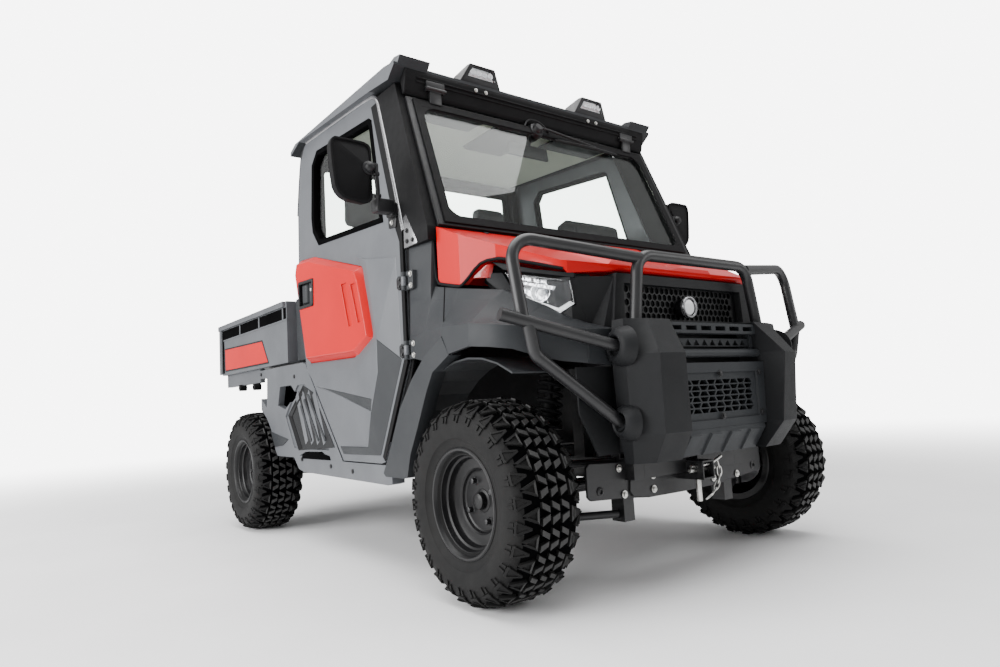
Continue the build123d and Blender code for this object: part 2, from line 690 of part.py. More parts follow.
roof_front = (roof_high[4], roof_high[5])
lamp_body = [roof_high[5], (-409, 2026), (-440, 2031), (-520, 2010), (-520, line_at(roof_front, -520))]
lamp_trim = front_slab([(lamp_y - 110, 1940), (lamp_y - 64, 2031), (lamp_y + 58, 2031), (lamp_y + 108, 1940)],
                       -560, -380)
lamp = side_slab(lamp_body, lamp_y - 110, lamp_y + 108) & lamp_trim
lamp_bowl = front_slab([(lamp_y - 70, 1976), (lamp_y - 46, 2020), (lamp_y + 40, 2020), (lamp_y + 66, 1976)],
                       -432, -380)
save("roof_lamps", both(lamp - lamp_bowl))

shield_bar = 44.0
shield_wall = 14.0
rake = Vector(shield_high[0] - shield_low[0], 0, shield_high[1] - shield_low[1])
shield_plane = Plane(origin=(cowl_x, 0, cowl_z), x_dir=(0, 1, 0), z_dir=(rake.Z, 0, -rake.X))
shield_tall = rake.length
low_half = cab_half - 39
high_half = roof_half - 21
shield_face = [(-low_half, 0), (low_half, 0), (high_half, shield_tall), (-high_half, shield_tall)]
hole_face = [(-low_half + shield_bar, shield_bar), (low_half - shield_bar, shield_bar),
             (high_half - shield_bar, shield_tall - shield_bar), (-high_half + shield_bar, shield_tall - shield_bar)]
glass_face = [(y * 1.012, line_at(((0, -8), (shield_tall, shield_tall + 8)), z)) for y, z in hole_face]


def on_shield(outline, depth, wall):
    """Outline in (y, up the glass); depth is measured out of the glass's front face."""
    start = Plane(origin=shield_plane.origin + shield_plane.z_dir * depth, x_dir=(0, 1, 0),
                  z_dir=shield_plane.z_dir)
    return extrude(start * Polygon(*outline, align=None), amount=wall, dir=shield_plane.z_dir)


shield_frame = on_shield(shield_face, 0, shield_wall) - on_shield(hole_face, -1, shield_wall + 2)
save("windshield_frame", shield_frame)
front_pane = on_shield(hole_face, 0, pane_wall)
wall_half = cab_half - beam_in - pillar_wall
wall_high = 1880.0
wall_lean = -lean * (wall_high - waist_z) + 1
rear_hole_half = wall_half - 58
rear_hole_high = rear_hole_half - 15
rear_hole = [(-rear_hole_half, 1330), (rear_hole_half, 1330), (rear_hole_high, wall_high - 18),
             (-rear_hole_high, wall_high - 18)]
rear_pane = front_slab(rear_hole, cab_rear_x + 6, cab_rear_x + 6 + pane_wall)
save("cab_glass", front_pane + rear_pane)

rear_face = [(-wall_half, floor_top), (wall_half, floor_top), (wall_half, waist_z),
             (wall_half - wall_lean, wall_high), (-wall_half + wall_lean, wall_high), (-wall_half, waist_z)]
rear_wall = front_slab(rear_face, cab_rear_x, cab_rear_x + 20) - front_slab(rear_hole, cab_rear_x - 1, cab_rear_x + 21)
rear_box = block(cab_rear_x - 100, cab_rear_x, -cab_half + 40, cab_half - 40, 880, 1195)
save("cab_rear_wall", rear_wall + rear_box)



# ---- inside the cab -------------------------------------------------------------------
dash_outline = [(toe_top_x, 1000), (toe_top_x, 1186), (-406, 1232), (-430, 1262), (-560, 1240),
                (-600, 1160), (-560, 1010)]
dash = side_slab(dash_outline, -cab_inner + 40, cab_inner - 40)
hood_outline = [(-470, 1240), (-500, 1420), (-560, 1450), (-610, 1432), (-590, 1230)]
dash += side_slab(hood_outline, wheel_y - 140, wheel_y + 130)
wheel_centre = Vector(wheel_x, wheel_y, wheel_z)
column_way = Vector(-cos(radians(column_tilt)), 0, sin(radians(column_tilt)))
column_start = wheel_centre - column_way * 52
dash += rod(wheel_centre - column_way * 240, column_start, 30.0)
save("dashboard", dash)

wheel_plane = Plane(origin=wheel_centre, x_dir=(0, 1, 0), z_dir=column_way)
steering = wheel_plane * Torus(wheel_radius - wheel_grip, wheel_grip)
steering += wheel_plane * Pos(0, 0, -22) * Cylinder(52, 30)
steering += wheel_plane * Pos(0, 0, -40) * Cylinder(16, 22.0)
for angle in (90, 210, 330):
    spoke = Rot(0, 0, angle) * Pos(wheel_radius / 2 - 8, 0, -10) * Box(wheel_radius - 24, 34, 12)
    steering += wheel_plane * spoke
save("steering_wheel", steering)

seat_places = (400.0, 0.0, -400.0)
back_wall = 120.0
back_top = 1470.0
back_rake = 90.0
cushions = []
backs = []
for place in seat_places:
    low, high = place - seat_width / 2 + seat_gap, place + seat_width / 2 - seat_gap
    cushions.append(side_slab([(seat_back_x + back_wall, box_top), (seat_front_x, box_top),
                               (seat_front_x, seat_top - 20), (seat_front_x - 30, seat_top),
                               (seat_back_x + back_wall, seat_top - 20)], low, high))
    backs.append(side_slab([(seat_back_x + back_wall - 1, box_top + 0.5), (seat_back_x + 10, box_top + 0.5),
                            (seat_back_x - back_rake, back_top), (seat_back_x - back_rake + 40, back_top + 20),
                            (seat_back_x - back_rake + back_wall, back_top)], low, high))
    head_x = seat_back_x - back_rake
    rest = side_slab([(head_x - 10, back_top + 70), (head_x + 90, back_top + 70), (head_x + 76, back_top + 270),
                      (head_x - 10, back_top + 280)], place - 112, place + 112)
    posts = rod((head_x + 40, place - 60, back_top - 30), (head_x + 40, place - 60, back_top + 80), 7)
    posts += rod((head_x + 40, place + 60, back_top - 30), (head_x + 40, place + 60, back_top + 80), 7)
    backs[-1] = backs[-1] + posts + rest
save("seat_cushions", cushions[0] + cushions[1] + cushions[2])
save("seat_backs", backs[0] + backs[1] + backs[2])
back_line = ((box_top + 0.5, seat_back_x + 10), (back_top, seat_back_x - back_rake))
rack_low = 1262.0
rack_high = 1302.0
seat_rack = side_slab([(cab_rear_x + 20, rack_low), (line_at(back_line, rack_low) - 0.3, rack_low),
                       (line_at(back_line, rack_high) - 0.3, rack_high), (cab_rear_x + 20, rack_high)], -560, 560)
save("seat_base", seat_box + seat_rack)


lamp_corner = (225.0, cab_half - 241, 998.0)
lamp_deep = 70.0


def head_lamp_solid():
    """Lens block on the body's corner, set straight back from its face."""
    plane = Plane(origin=lamp_corner, x_dir=(-205, 118, 0), z_dir=(118, 205, 0))
    # along the face towards the outside, up
    flat = [(226, 52), (0, 0), (-10, -78), (44, -106), (172, -46)]
    return extrude(plane * Polygon(*flat, align=None), amount=lamp_deep, dir=(-118, -205, 0))


# ---- body sides -----------------------------------------------------------------------
arch_gap = 32.0
sill_outline = [(-562, 400), (-562, 336), (-600, 329), (-900, 334), (-1440, 340), (-1500, 352), (-1560, 405), (-1000, 405),
                (-640, 405), (-600, 405)]
quarter_outline = [(-1000, 405), (-1383, 852), (-1420, 862), (rear_x + 123, 862), (rear_x + 128, 640),
                   (rear_x + 360, 405)]
side_windows = [
    [(-2040, 817), (-1924, 819), (-1936, 655), (-2032, 714)],
    [(-1733, 760), (-1578, 761), (-1508, 712), (-1663, 643), (-1767, 665)],
    [(-1482, 417), (-1411, 436), (-1214, 441), (-1155, 420)],
]
vent_panel = [(-1493, 757), (-1400, 757), (-1135, 450), (-1555, 450), (-1666, 606)]
vent_sink = 10.0
quarter_wall = 34.0
arch_cut = rod((rear_x, 300, tyre_radius), (rear_x, 900, tyre_radius), tyre_radius + arch_gap)


def quarter_panel():
    panel = side_slab(quarter_outline, cab_half - quarter_wall, cab_half) - arch_cut
    panel += side_slab(sill_outline, cab_half - sill_in, cab_half)
    for window in side_windows:
        panel -= side_slab(window, cab_half - 2 * quarter_wall, cab_half + quarter_wall)
    panel -= side_slab(vent_panel, cab_half - vent_sink, cab_half + quarter_wall)
    for step in range(4):
        rib_x = -1478.0 + 70 * step
        rib = [(rib_x - 30, 700), (rib_x, 730), (rib_x + 110, 490), (rib_x + 80, 470)]
        panel += side_slab(rib, cab_half - vent_sink - 1, cab_half + 4)
    return panel


def arch_point(angle, reach):
    return (reach * cos(radians(angle)), tyre_radius + reach * sin(radians(angle)))


# fender sections from back to front: x, then each of crest, shoulder, crease and lip as
# its distance out from the cab's side and its height
fender_stations = [
    (-378, (-10, 1205), (-5, 1000), (1, 880), (1, 800)),
    (-240, (-23, 1205), (-7, 1000), (23, 880), (25, 776)),
    (-237, (-27, 1040), (-7, 990), (23, 880), (25, 776)),
    (-100, (-33, 1012), (-17, 975), (45, 878), (49, 782)),
    (60, (-97, 985), (-55, 950), (47, 872), (52, 800)),
    (150, (-185, 925), (-105, 885), (33, 860), (39, 790)),
    (205, (-225, 884), (-155, 858), (-9, 850), (-5, 779)),
    (240, (-275, 860), (-205, 846), (-85, 842), (-81, 752)),
    (270, (-315, 845), (-265, 838), (-147, 838), (-143, 736)),
    (296, (-350, 836), (-315, 834), (-225, 833), (-223, 727)),
]
fender_wall = 14.0
flare_low = [(-385, 372), (-356, 378), (-329, 458), (-276, 544), (-202, 673), (-159, 734), (-56, 783)]
flare_high = [(-120, 872), (-238, 812), (-322, 744), (-413, 646), (-515, 471), (-557, 410), (-540, 372)]
front_face = [(cab_half - 227, 727), (cab_half - 227, 832), (fascia_half + 2, 832), (fascia_half + 2, 717)]


def fender():
    sections = []
    for x, crest, shoulder, crease, lip in fender_stations:
        outer = [(cab_half + out, z) for out, z in (crest, shoulder, crease, lip)]
        inner = [(y - fender_wall, z - (fender_wall if i in (1, 2) else 0)) for i, (y, z) in enumerate(outer)]
        sections.append([(x, y, z) for y, z in outer + inner[::-1]])
    shape = lofted(sections[:2])
    for pair in zip(sections[1:], sections[2:]):
        shape += lofted(pair)
    flare = flare_low + flare_high
    base = [(x, cab_half - 4, z) for x, z in flare]
    proud = [(x, cab_half + 50, z) for x, z in flare_low] + [
        (x + 24, cab_half + 50, z - 26) for x, z in flare_high[:-1]] + [(flare_high[-1][0] + 24, cab_half + 50, 372)]
    shape += lofted([base, proud])
    shape += front_slab(front_face, 286, 300)
    liner = side_slab([arch_point(a, 452) for a in range(60, 151, 10)]
                      + [arch_point(a, 446) for a in range(150, 59, -10)], cab_half - 185, cab_half + 15)
    shape += liner
    for hinge_z in hinge_heights:
        shape += body_hinge(hinge_z)
    return shape - head_lamp_solid()


left_quarter = quarter_panel()
left_fender = fender()
for side_name, side in sides.items():
    save(f"quarter_panel_{side_name}", mirrored(left_quarter, side))
    save(f"front_fender_{side_name}", mirrored(left_fender, side))


# ---- hood and front -------------------------------------------------------------------
hood_half = cab_half - 31
hood_top = [(hood_rear_x, cowl_z - 4), (203, 1066), (hood_front_x, hood_front_z)]
hood_edge = [(hood_rear_x, hood_half), (-97, hood_half - 8), (20, hood_half - 74), (223, hood_half - 202),
             (hood_front_x, fascia_half - 55)]
hood_plan = hood_edge + [(x, -y) for x, y in hood_edge[::-1]]
hood_outer = side_slab(hood_top + [(hood_front_x, 1036), (hood_front_x - 8, 1030), (210, 1018), (30, 1062),
                                   (-20, 1058), (-97, 1024), (hood_rear_x, 1051)], -cab_half, cab_half)
hood_outer &= plan_slab(hood_plan, 900, 1300)
hood_void_side = [(hood_rear_x + 14, 900), (hood_rear_x + 14, cowl_z - 30), (196, 1042), (hood_front_x - 26, 1034),
                  (hood_front_x - 26, 900)]
hood_void = side_slab(hood_void_side, -cab_half, cab_half)
hood_void &= plan_slab([(x - 12 if x > -200 else x, y * 0.966) for x, y in hood_plan], 900, 1300)
hood = hood_outer - hood_void
hood_bulge = lofted([
    [(cowl_x + 34, -330, 1228), (cowl_x + 34, 330, 1228), (cowl_x + 34, 300, 1252), (cowl_x + 34, -300, 1252)],
    [(190, -300, 1058), (190, 300, 1058), (190, 270, 1086), (190, -270, 1086)],
])
hood += hood_bulge
for arm_y in hood_hinges:
    hood -= block(hood_rear_x - 5, hood_rear_x + 26, arm_y - 13, arm_y + 13, hood_pin_z - 90, cowl_z + 5)
    hood += rod((hood_pin_x, arm_y - 15, hood_pin_z), (hood_pin_x, arm_y + 15, hood_pin_z), hood_pin)
save("hood_panel", hood)

fascia = front_slab([(-fascia_half, fascia_low), (fascia_half, fascia_low), (fascia_half - 30, fascia_high - 8),
                     (-fascia_half + 30, fascia_high - 8)], fascia_x - 60, fascia_x)
mouth = [(-grille_half - 8, grille_low), (grille_half + 8, grille_low), (grille_half, grille_high),
         (-grille_half, grille_high)]
fascia -= front_slab(mouth, fascia_x - 46, fascia_x + 1)
lower_face = front_slab([(-fascia_half, 700), (fascia_half, 700), (fascia_half, fascia_low), (-fascia_half, fascia_low)],
                        fascia_x - 60, fascia_x - 40)
fascia += lower_face
cheek = plan_slab([(fascia_x - 60, fascia_half - 40), (fascia_x - 10, fascia_half - 40),
                   (fascia_x - 20, cab_half - 245), (190, cab_half - 215), (178, cab_half - 225)], 838, 1010)
side_plate = front_slab([(fascia_half + 10, 440), (fascia_half + 10, 716), (cab_half - 194, 716),
                         (cab_half - 197, 575), (cab_half - 267, 440)], 268, 274)
side_web = block(fascia_x - 60, 274, fascia_half - 2, fascia_half + 12, 440, fascia_low)
fascia += both(cheek + side_plate + side_web - head_lamp_solid() - left_fender)
fascia += block(190, fascia_x - 59, -rail_out, rail_out, fascia_low + 50, fascia_low + 100)
save("front_fascia", fascia)


def honeycomb(outline, x0, wall):
    """Plate with staggered six-sided holes, kept inside its outline."""
    plate = front_slab(outline, x0, x0 + wall)
    radius = (mesh_pitch - mesh_bar) / 2 / cos(pi / 6)
    row_step = mesh_pitch * cos(pi / 6)
    plane = Plane(origin=(x0 - 1, 0, 0), x_dir=(0, 1, 0), z_dir=(1, 0, 0))
    rows = int((grille_high - grille_low - mesh_pitch) / row_step) + 1
    first_z = (grille_high + grille_low) / 2 - (rows - 1) / 2 * row_step
    holes = []
    for row in range(rows):
        shift = mesh_pitch / 2 * (row % 2)
        count = int((grille_half - mesh_pitch) / mesh_pitch)
        for column in range(-count, count + 1 - row % 2):
            spot = Pos(column * mesh_pitch + shift, first_z + row * row_step)
            holes.append(spot * RegularPolygon(radius, 6, rotation=30))
    cutter = extrude(plane * Sketch(children=holes), amount=wall + 2, dir=(1, 0, 0))
    return plate - cutter


badge = rod((fascia_x - 26, 0, 918), (fascia_x + 5, 0, 918), 34.0)
save("grille", honeycomb(mouth, fascia_x - 34, mesh_wall) + badge)


save("headlights", both(head_lamp_solid()))


# ---- guards, crossbars and bull bar ---------------------------------------------------
# sections of the left corner guard from the bottom up: z, then x and y of each corner
guard_stations = [
    (411, ((310, 240), (395, 233), (385, 345), (345, 400), (310, 400))),
    (502, ((310, 250), (460, 256), (447, 365), (362, 420), (310, 420))),
    (744, ((310, 250), (front_overhang, 279), (458, 377), (368, 430), (310, 430))),
    (859, ((310, 240), (388, 235), (384, 335), (356, 418), (310, 418))),
]


bar_radius_gap = bar_radius + 0.3
side_end = (246.0, cab_half + 67, 876.0)
side_root = (357.0, 399.0, 763.0)
brace_bend = (262.0, cab_half - 45, 755.0)
brace_root = (336.0, 392.0, 512.0)
socket_radius = 32.0


def corner_guard():
    """Moulded block with its two mounts and a collared socket for each side tube."""
    sections = [[(x, y, z) for x, y in corners] for z, corners in guard_stations]
    guard = lofted(sections[:2]) + lofted(sections[1:3]) + lofted(sections[2:])
    guard += block(190, 311, 262, 298, 440, 480) + block(190, 311, 262, 298, 640, 690)
    for outer, root in ((side_end, side_root), (brace_bend, brace_root)):
        way = (Vector(*outer) - Vector(*root)).normalized()
        seat = Vector(*root)
        guard += rod(seat, seat + way * 44, socket_radius)
        guard -= rod(seat, seat + way * 80, bar_radius_gap)
    return guard


save("corner_guards", both(corner_guard()))

guard_inner = 246.0
crossbar = front_slab([(-guard_inner, 815), (guard_inner, 815), (guard_inner, 850), (-guard_inner, 850)], 345, 385)
for slot in range(6):
    slot_y = -200 + slot * 80
    crossbar -= block(330, 400, slot_y - 28, slot_y + 28, 825, 840)
louvre = block(352, 360, -guard_inner, guard_inner, 772, 800)
teeth = 10
for tooth in range(teeth):
    tooth_y = -200 + tooth * 400 / (teeth - 1)
    louvre -= front_slab([(tooth_y - 16, 776), (tooth_y + 16, 776), (tooth_y, 797)], 340, 370)
cross_tube = rod((372, -guard_inner - 20, 748), (372, guard_inner + 20, 748), 15.0)
ends = block(345, 366, guard_inner - 14, guard_inner + 6, 745, 850)
crossbars = crossbar + louvre + cross_tube + both(ends)

plate_x = 396.0
plate_outline = [(-262, 497), (262, 497), (266, 715), (-266, 715)]
grid_rows = 6
grid_columns = 9
grid_half = 190.0
grid_low = 546.0
grid_high = 660.0
plate = front_slab(plate_outline, plate_x - 24, plate_x)
plate -= front_slab([(-grid_half - 26, grid_low - 22), (grid_half + 26, grid_low - 22),
                     (grid_half + 26, grid_high + 22), (-grid_half - 26, grid_high + 22)], plate_x - 8, plate_x + 1)
hole_wide = 2 * grid_half / grid_columns
hole_tall = (grid_high - grid_low) / grid_rows
for row in range(grid_rows):
    for column in range(grid_columns):
        y = -grid_half + (column + 0.5) * hole_wide
        z = grid_low + (row + 0.5) * hole_tall
        flip = 1 if (row + column) % 2 else -1
        top = hole_wide / 2 - 4 - 5 * flip
        foot = hole_wide / 2 - 4 + 5 * flip
        hole = [(y - foot, z - 7), (y + foot, z - 7), (y + top, z + 7), (y - top, z + 7)]
        plate -= front_slab(hole, plate_x - 30, plate_x + 1)
skid = side_slab([(plate_x - 22, 497), (plate_x + 2, 497), (plate_x + 4, 484), (353, 411), (300, 405), (300, 413),
                  (345, 420), (384, 484)], -236, 236)
for rib_y in (-165, -55, 55, 165):
    skid += side_slab([(plate_x + 3, 484), (plate_x + 9, 478), (360, 411), (353, 411)], rib_y - 26, rib_y + 26)
save("lower_grille", plate + skid + crossbars - both(corner_guard()))

bar_bend = 70.0
hoop_foot = (337.0, 337.0, 859.3)
hoop = tube([(hoop_foot[0], -hoop_foot[1], hoop_foot[2]), (hoop_x, -hoop_half, hoop_z),
             (hoop_x, hoop_half, hoop_z), hoop_foot], bar_radius, bar_bend)
wing = tube([(hoop_x + 2, hoop_half - 10, hoop_z - 12), (222, cab_half, 1118), (262, cab_half - 7, 860)],
            bar_radius, bar_bend)
side_tube = rod(side_end, side_root, bar_radius)
brace = tube([(268, cab_half - 21, 850), brace_bend, brace_root], bar_radius, 45.0)
save("bull_bar", hoop + both(wing + side_tube + brace) - both(corner_guard()))

pin_x = 285.0
front_hitch = receiver(receiver_root, receiver_tip, receiver_z)
front_hitch += block(receiver_root + 30, 250, receiver_out, rail_in, rail_bottom, rail_top)
front_hitch += block(receiver_root + 30, 250, -rail_in, -receiver_out, rail_bottom, rail_top)
front_hitch -= rod((pin_x, -100, receiver_z), (pin_x, 100, receiver_z), hitch_hole)
save("front_receiver", front_hitch)


# ---- bed ------------------------------------------------------------------------------
gate_gap = 6.0
bed_in = bed_half - bed_wall
gate_x = bed_rear_x + gate_wall
rail_lip = 14.0
slots = 8
slot_pitch = 126.0
slot_long = 92.0
post_wide = 46.0
runner_y = 322.0
runner_half = 15.0
gate_pin = 6.0
gate_pin_x = bed_rear_x + 12.0
gate_pin_z = bed_floor_z + 12.0
gate_knuckles = (200.0, 560.0)
gate_low = bed_floor_z + 26

bed = block(gate_x + gate_gap, bed_front_x, -bed_half, bed_half, bed_floor_z, bed_floor_z + bed_floor_wall)
bed += block(bed_front_x - bed_wall, bed_front_x, -bed_half, bed_half, bed_floor_z, bed_top_z)
bed_side = block(gate_x + gate_gap, bed_front_x, bed_in, bed_half, bed_floor_z, bed_top_z)
bed_side += block(bed_rear_x, bed_front_x - 20, bed_half, bed_half + rail_lip, bed_top_z - 28, bed_top_z)
bed_side += block(bed_rear_x, gate_x + gate_gap, bed_in, bed_half, bed_floor_z + 8, bed_top_z)
bed_side += block(bed_rear_x, bed_rear_x + post_wide, bed_half, bed_half + 8, bed_floor_z + 8, bed_top_z)
for slot in range(slots):
    slot_x = bed_front_x - 80 - slot * slot_pitch
    bed_side -= side_slab([(slot_x, 1108), (slot_x - 10, 1146), (slot_x - slot_long, 1146),
                           (slot_x - slot_long + 10, 1108)], bed_in - 1, bed_half + 30)
bed_side += block(gate_x + 40, rear_x + 66, bed_half - 46, bed_half - 20, 800, bed_floor_z)
runner = block(gate_x + 60, bed_front_x - 20, runner_y - runner_half, runner_y + runner_half, 812, bed_floor_z)
pivot_ear = side_slab([(pivot_x - 60, 814), (pivot_x - 26, pivot_z - 22), (pivot_x + 26, pivot_z - 22),
                       (pivot_x + 60, 814)], rail_out + 5, rail_out + 17)
pivot_ear += block(pivot_x - 60, pivot_x + 60, rail_out + 5, runner_y, 812, 824)
bed_side += runner + pivot_ear
for ear_y in (cylinder_y - 28, cylinder_y + 16):
    bed_side += side_slab([(rod_eye_x - 26, bed_floor_z), (rod_eye_x - 14, rod_eye_z - 18),
                           (rod_eye_x + 14, rod_eye_z - 18), (rod_eye_x + 26, bed_floor_z)], ear_y, ear_y + 12)
for knuckle_y in gate_knuckles:
    bed_side += block(bed_rear_x + 6, gate_x + gate_gap + 4, knuckle_y, knuckle_y + 40,
                      gate_pin_z - 10, gate_pin_z + 9)
    bed_side += rod((gate_pin_x, knuckle_y, gate_pin_z), (gate_pin_x, knuckle_y + 70, gate_pin_z), gate_pin)
bed += both(bed_side)
for rib in range(9):
    rib_y = -560 + rib * 140
    bed += block(gate_x + gate_gap + 40, bed_front_x - bed_wall, rib_y - 30, rib_y + 30,
                 bed_floor_z + bed_floor_wall, bed_floor_z + bed_floor_wall + 6)
bed += rod((pivot_x, -rail_out - 17, pivot_z), (pivot_x, rail_out + 17, pivot_z), pivot_radius)
save("cargo_bed", bed)

gate = block(bed_rear_x, gate_x, -bed_in + gate_gap, bed_in - gate_gap, gate_low, bed_top_z - 4)
gate_lugs = Part()
for knuckle_y in gate_knuckles:
    lug = rod((gate_pin_x, knuckle_y + 42, gate_pin_z), (gate_pin_x, knuckle_y + 66, gate_pin_z), gate_pin + 6)
    lug += block(gate_pin_x - 12, gate_pin_x + 12, knuckle_y + 42, knuckle_y + 66, gate_pin_z, gate_low + 1)
    lug -= rod((gate_pin_x, knuckle_y + 30, gate_pin_z), (gate_pin_x, knuckle_y + 80, gate_pin_z),
               gate_pin + pin_gap)
    gate_lugs += lug
gate += both(gate_lugs)
gate -= block(bed_rear_x - 1, bed_rear_x + 10, -bed_in + 70, bed_in - 70, bed_floor_z + 70, bed_top_z - 60)
save("tailgate", gate)

tail_lamp = block(bed_rear_x - tail_lamp_wall, bed_rear_x, bed_in, bed_half - 2, 960, 1080)
save("tail_lamps", both(tail_lamp))


# ---- bed lift -------------------------------------------------------------------------
base = Vector(base_x, cylinder_y, base_z)
eye = Vector(rod_eye_x, cylinder_y, rod_eye_z)
lift_way = (eye - base).normalized()
barrel_end = base + lift_way * barrel_length
barrel = rod(base + lift_way * 12, barrel_end, cylinder_radius)
barrel += rod(base - Vector(0, cylinder_radius, 0), base + Vector(0, cylinder_radius, 0), 20.0)
barrel -= rod(base - Vector(0, 60, 0), base + Vector(0, 60, 0), cylinder_pin + pin_gap)
bore_start = base + lift_way * 34
barrel -= rod(bore_start, barrel_end + lift_way * 5, rod_radius + pin_gap)
save("lift_barrel", barrel)
piston = rod(bore_start + lift_way * 2, eye - lift_way * 10, rod_radius)
piston += rod(eye - Vector(0, 14, 0), eye + Vector(0, 14, 0), 16.0)
save("lift_rod", piston)
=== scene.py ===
import json
from math import atan2, cos, hypot, pi, radians, sin

import bmesh
import bpy
from mathutils import Matrix, Vector

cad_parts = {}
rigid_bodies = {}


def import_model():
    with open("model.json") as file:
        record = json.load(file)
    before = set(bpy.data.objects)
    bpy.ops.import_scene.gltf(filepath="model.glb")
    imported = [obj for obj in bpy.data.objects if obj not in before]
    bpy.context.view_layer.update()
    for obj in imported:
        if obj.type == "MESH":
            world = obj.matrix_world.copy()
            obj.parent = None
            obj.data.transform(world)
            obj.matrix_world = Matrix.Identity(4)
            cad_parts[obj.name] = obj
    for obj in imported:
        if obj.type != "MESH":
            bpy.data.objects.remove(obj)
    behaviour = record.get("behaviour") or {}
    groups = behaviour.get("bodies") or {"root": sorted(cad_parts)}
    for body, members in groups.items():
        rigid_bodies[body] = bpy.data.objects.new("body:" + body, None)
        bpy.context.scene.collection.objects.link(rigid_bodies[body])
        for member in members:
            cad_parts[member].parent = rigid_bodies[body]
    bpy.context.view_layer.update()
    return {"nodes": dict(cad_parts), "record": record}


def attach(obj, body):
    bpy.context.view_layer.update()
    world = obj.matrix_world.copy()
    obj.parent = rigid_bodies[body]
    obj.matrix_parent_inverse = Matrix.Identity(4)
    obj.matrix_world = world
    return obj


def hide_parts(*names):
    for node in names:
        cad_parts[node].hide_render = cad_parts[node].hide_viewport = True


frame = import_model()
nodes = frame["nodes"]

layout = {"frontAxleX": 1.1545, "rearAxleX": -0.9955, "track": 0.703, "wheelRadius": 0.318}


def at(x, y, z):
    # front axle measures in mm to the vehicle's own frame in metres
    return Vector((x / 1000 + layout["frontAxleX"], y / 1000, z / 1000))


def freeLine(*spots):
    return [at(*spot) for spot in spots]


def frontLine(x, spots):
    # points at one x, from their y and z
    return [at(x, y, z) for y, z in spots]


def sideLine(y, spots):
    # points at one y, from their x and z
    return [at(x, y, z) for x, z in spots]


# ---------- camera, floor and light ----------
camera = {"place": (2.97151, -2.02125, 0.63164), "yaw": 2.48618, "pitch": 0.09441, "roll": -0.05674,
    "lens": 25.0135, "sensor": 36.0}


def addCamera():
    ahead = Vector((cos(camera["yaw"]) * cos(camera["pitch"]), sin(camera["yaw"]) * cos(camera["pitch"]),
        sin(camera["pitch"])))
    side = ahead.cross(Vector((0, 0, 1))).normalized()
    top = side.cross(ahead)
    right = cos(camera["roll"]) * side + sin(camera["roll"]) * top
    up = -sin(camera["roll"]) * side + cos(camera["roll"]) * top
    data = bpy.data.cameras.new("viewCamera")
    data.lens = camera["lens"]
    data.sensor_width = camera["sensor"]
    data.sensor_fit = "HORIZONTAL"
    data.clip_start = 0.02
    data.clip_end = 200
    eye = bpy.data.objects.new("viewCamera", data)
    bpy.context.scene.collection.objects.link(eye)
    turn = Matrix((right, up, -ahead)).transposed().to_4x4()
    eye.matrix_world = Matrix.Translation(camera["place"]) @ turn
    bpy.context.scene.camera = eye


light = {"sky": (1.0, 1.0, 1.0), "skyStrength": 0.62, "seen": 7.0, "sidePower": 640, "frontPower": 60,
    "topPower": 640, "floorNear": 2.4, "floorFar": 10.0}


def addLamp(name, place, target, size, power):
    data = bpy.data.lights.new(name, "AREA")
    data.shape = "RECTANGLE"
    data.size, data.size_y = size
    data.energy = power
    lamp = bpy.data.objects.new(name, data)
    bpy.context.scene.collection.objects.link(lamp)
    lamp.location = place
    lamp.rotation_euler = (Vector(target) - Vector(place)).to_track_quat("-Z", "Y").to_euler()


def addNode(tree, kind, **values):
    # a shader node with constants on its sockets; an underscore in a socket's name stands for a space
    node = tree.nodes.new("ShaderNode" + kind)
    for socket, value in values.items():
        node.inputs[socket.replace("_", " ")].default_value = value
    return node


def seenLevel(tree):
    # strength of the white surround: full where it is seen, also through a pane, and low where it lights
    path = addNode(tree, "LightPath")
    level = addNode(tree, "MapRange", To_Min=light["skyStrength"], To_Max=light["seen"])

    def combine(kind, first, second):
        step = addNode(tree, "Math")
        step.operation = kind
        for socket, source in zip(step.inputs, (first, second)):
            if isinstance(source, float):
                socket.default_value = source
            else:
                tree.links.new(source, socket)
        return step.outputs[0]

    bounces = combine("ADD", path.outputs["Diffuse Depth"], path.outputs["Glossy Depth"])
    clear = combine("MULTIPLY", combine("LESS_THAN", bounces, 0.5), path.outputs["Is Transmission Ray"])
    tree.links.new(combine("MAXIMUM", path.outputs["Is Camera Ray"], clear), level.inputs["Value"])
    return level.outputs[0]


def addStudio():
    # soft white surround, shown brighter than it lights
    world = bpy.data.worlds.new("studio")
    world.use_nodes = True
    tree = world.node_tree
    sky = tree.nodes["Background"]
    sky.inputs["Color"].default_value = (*light["sky"], 1)
    tree.links.new(seenLevel(tree), sky.inputs["Strength"])
    bpy.context.scene.world = world
    addLamp("overhead", (0.2, -0.4, 5.5), (0.1, 0, 0.5), (7, 6), light["topPower"])
    addLamp("sideBank", (-0.6, -6.0, 2.4), (0.0, 0, 0.9), (6.0, 3.6), light["sidePower"])
    addLamp("frontFill", (4.6, 3.2, 2.8), (0.6, 0, 0.9), (3.0, 2.0), light["frontPower"])


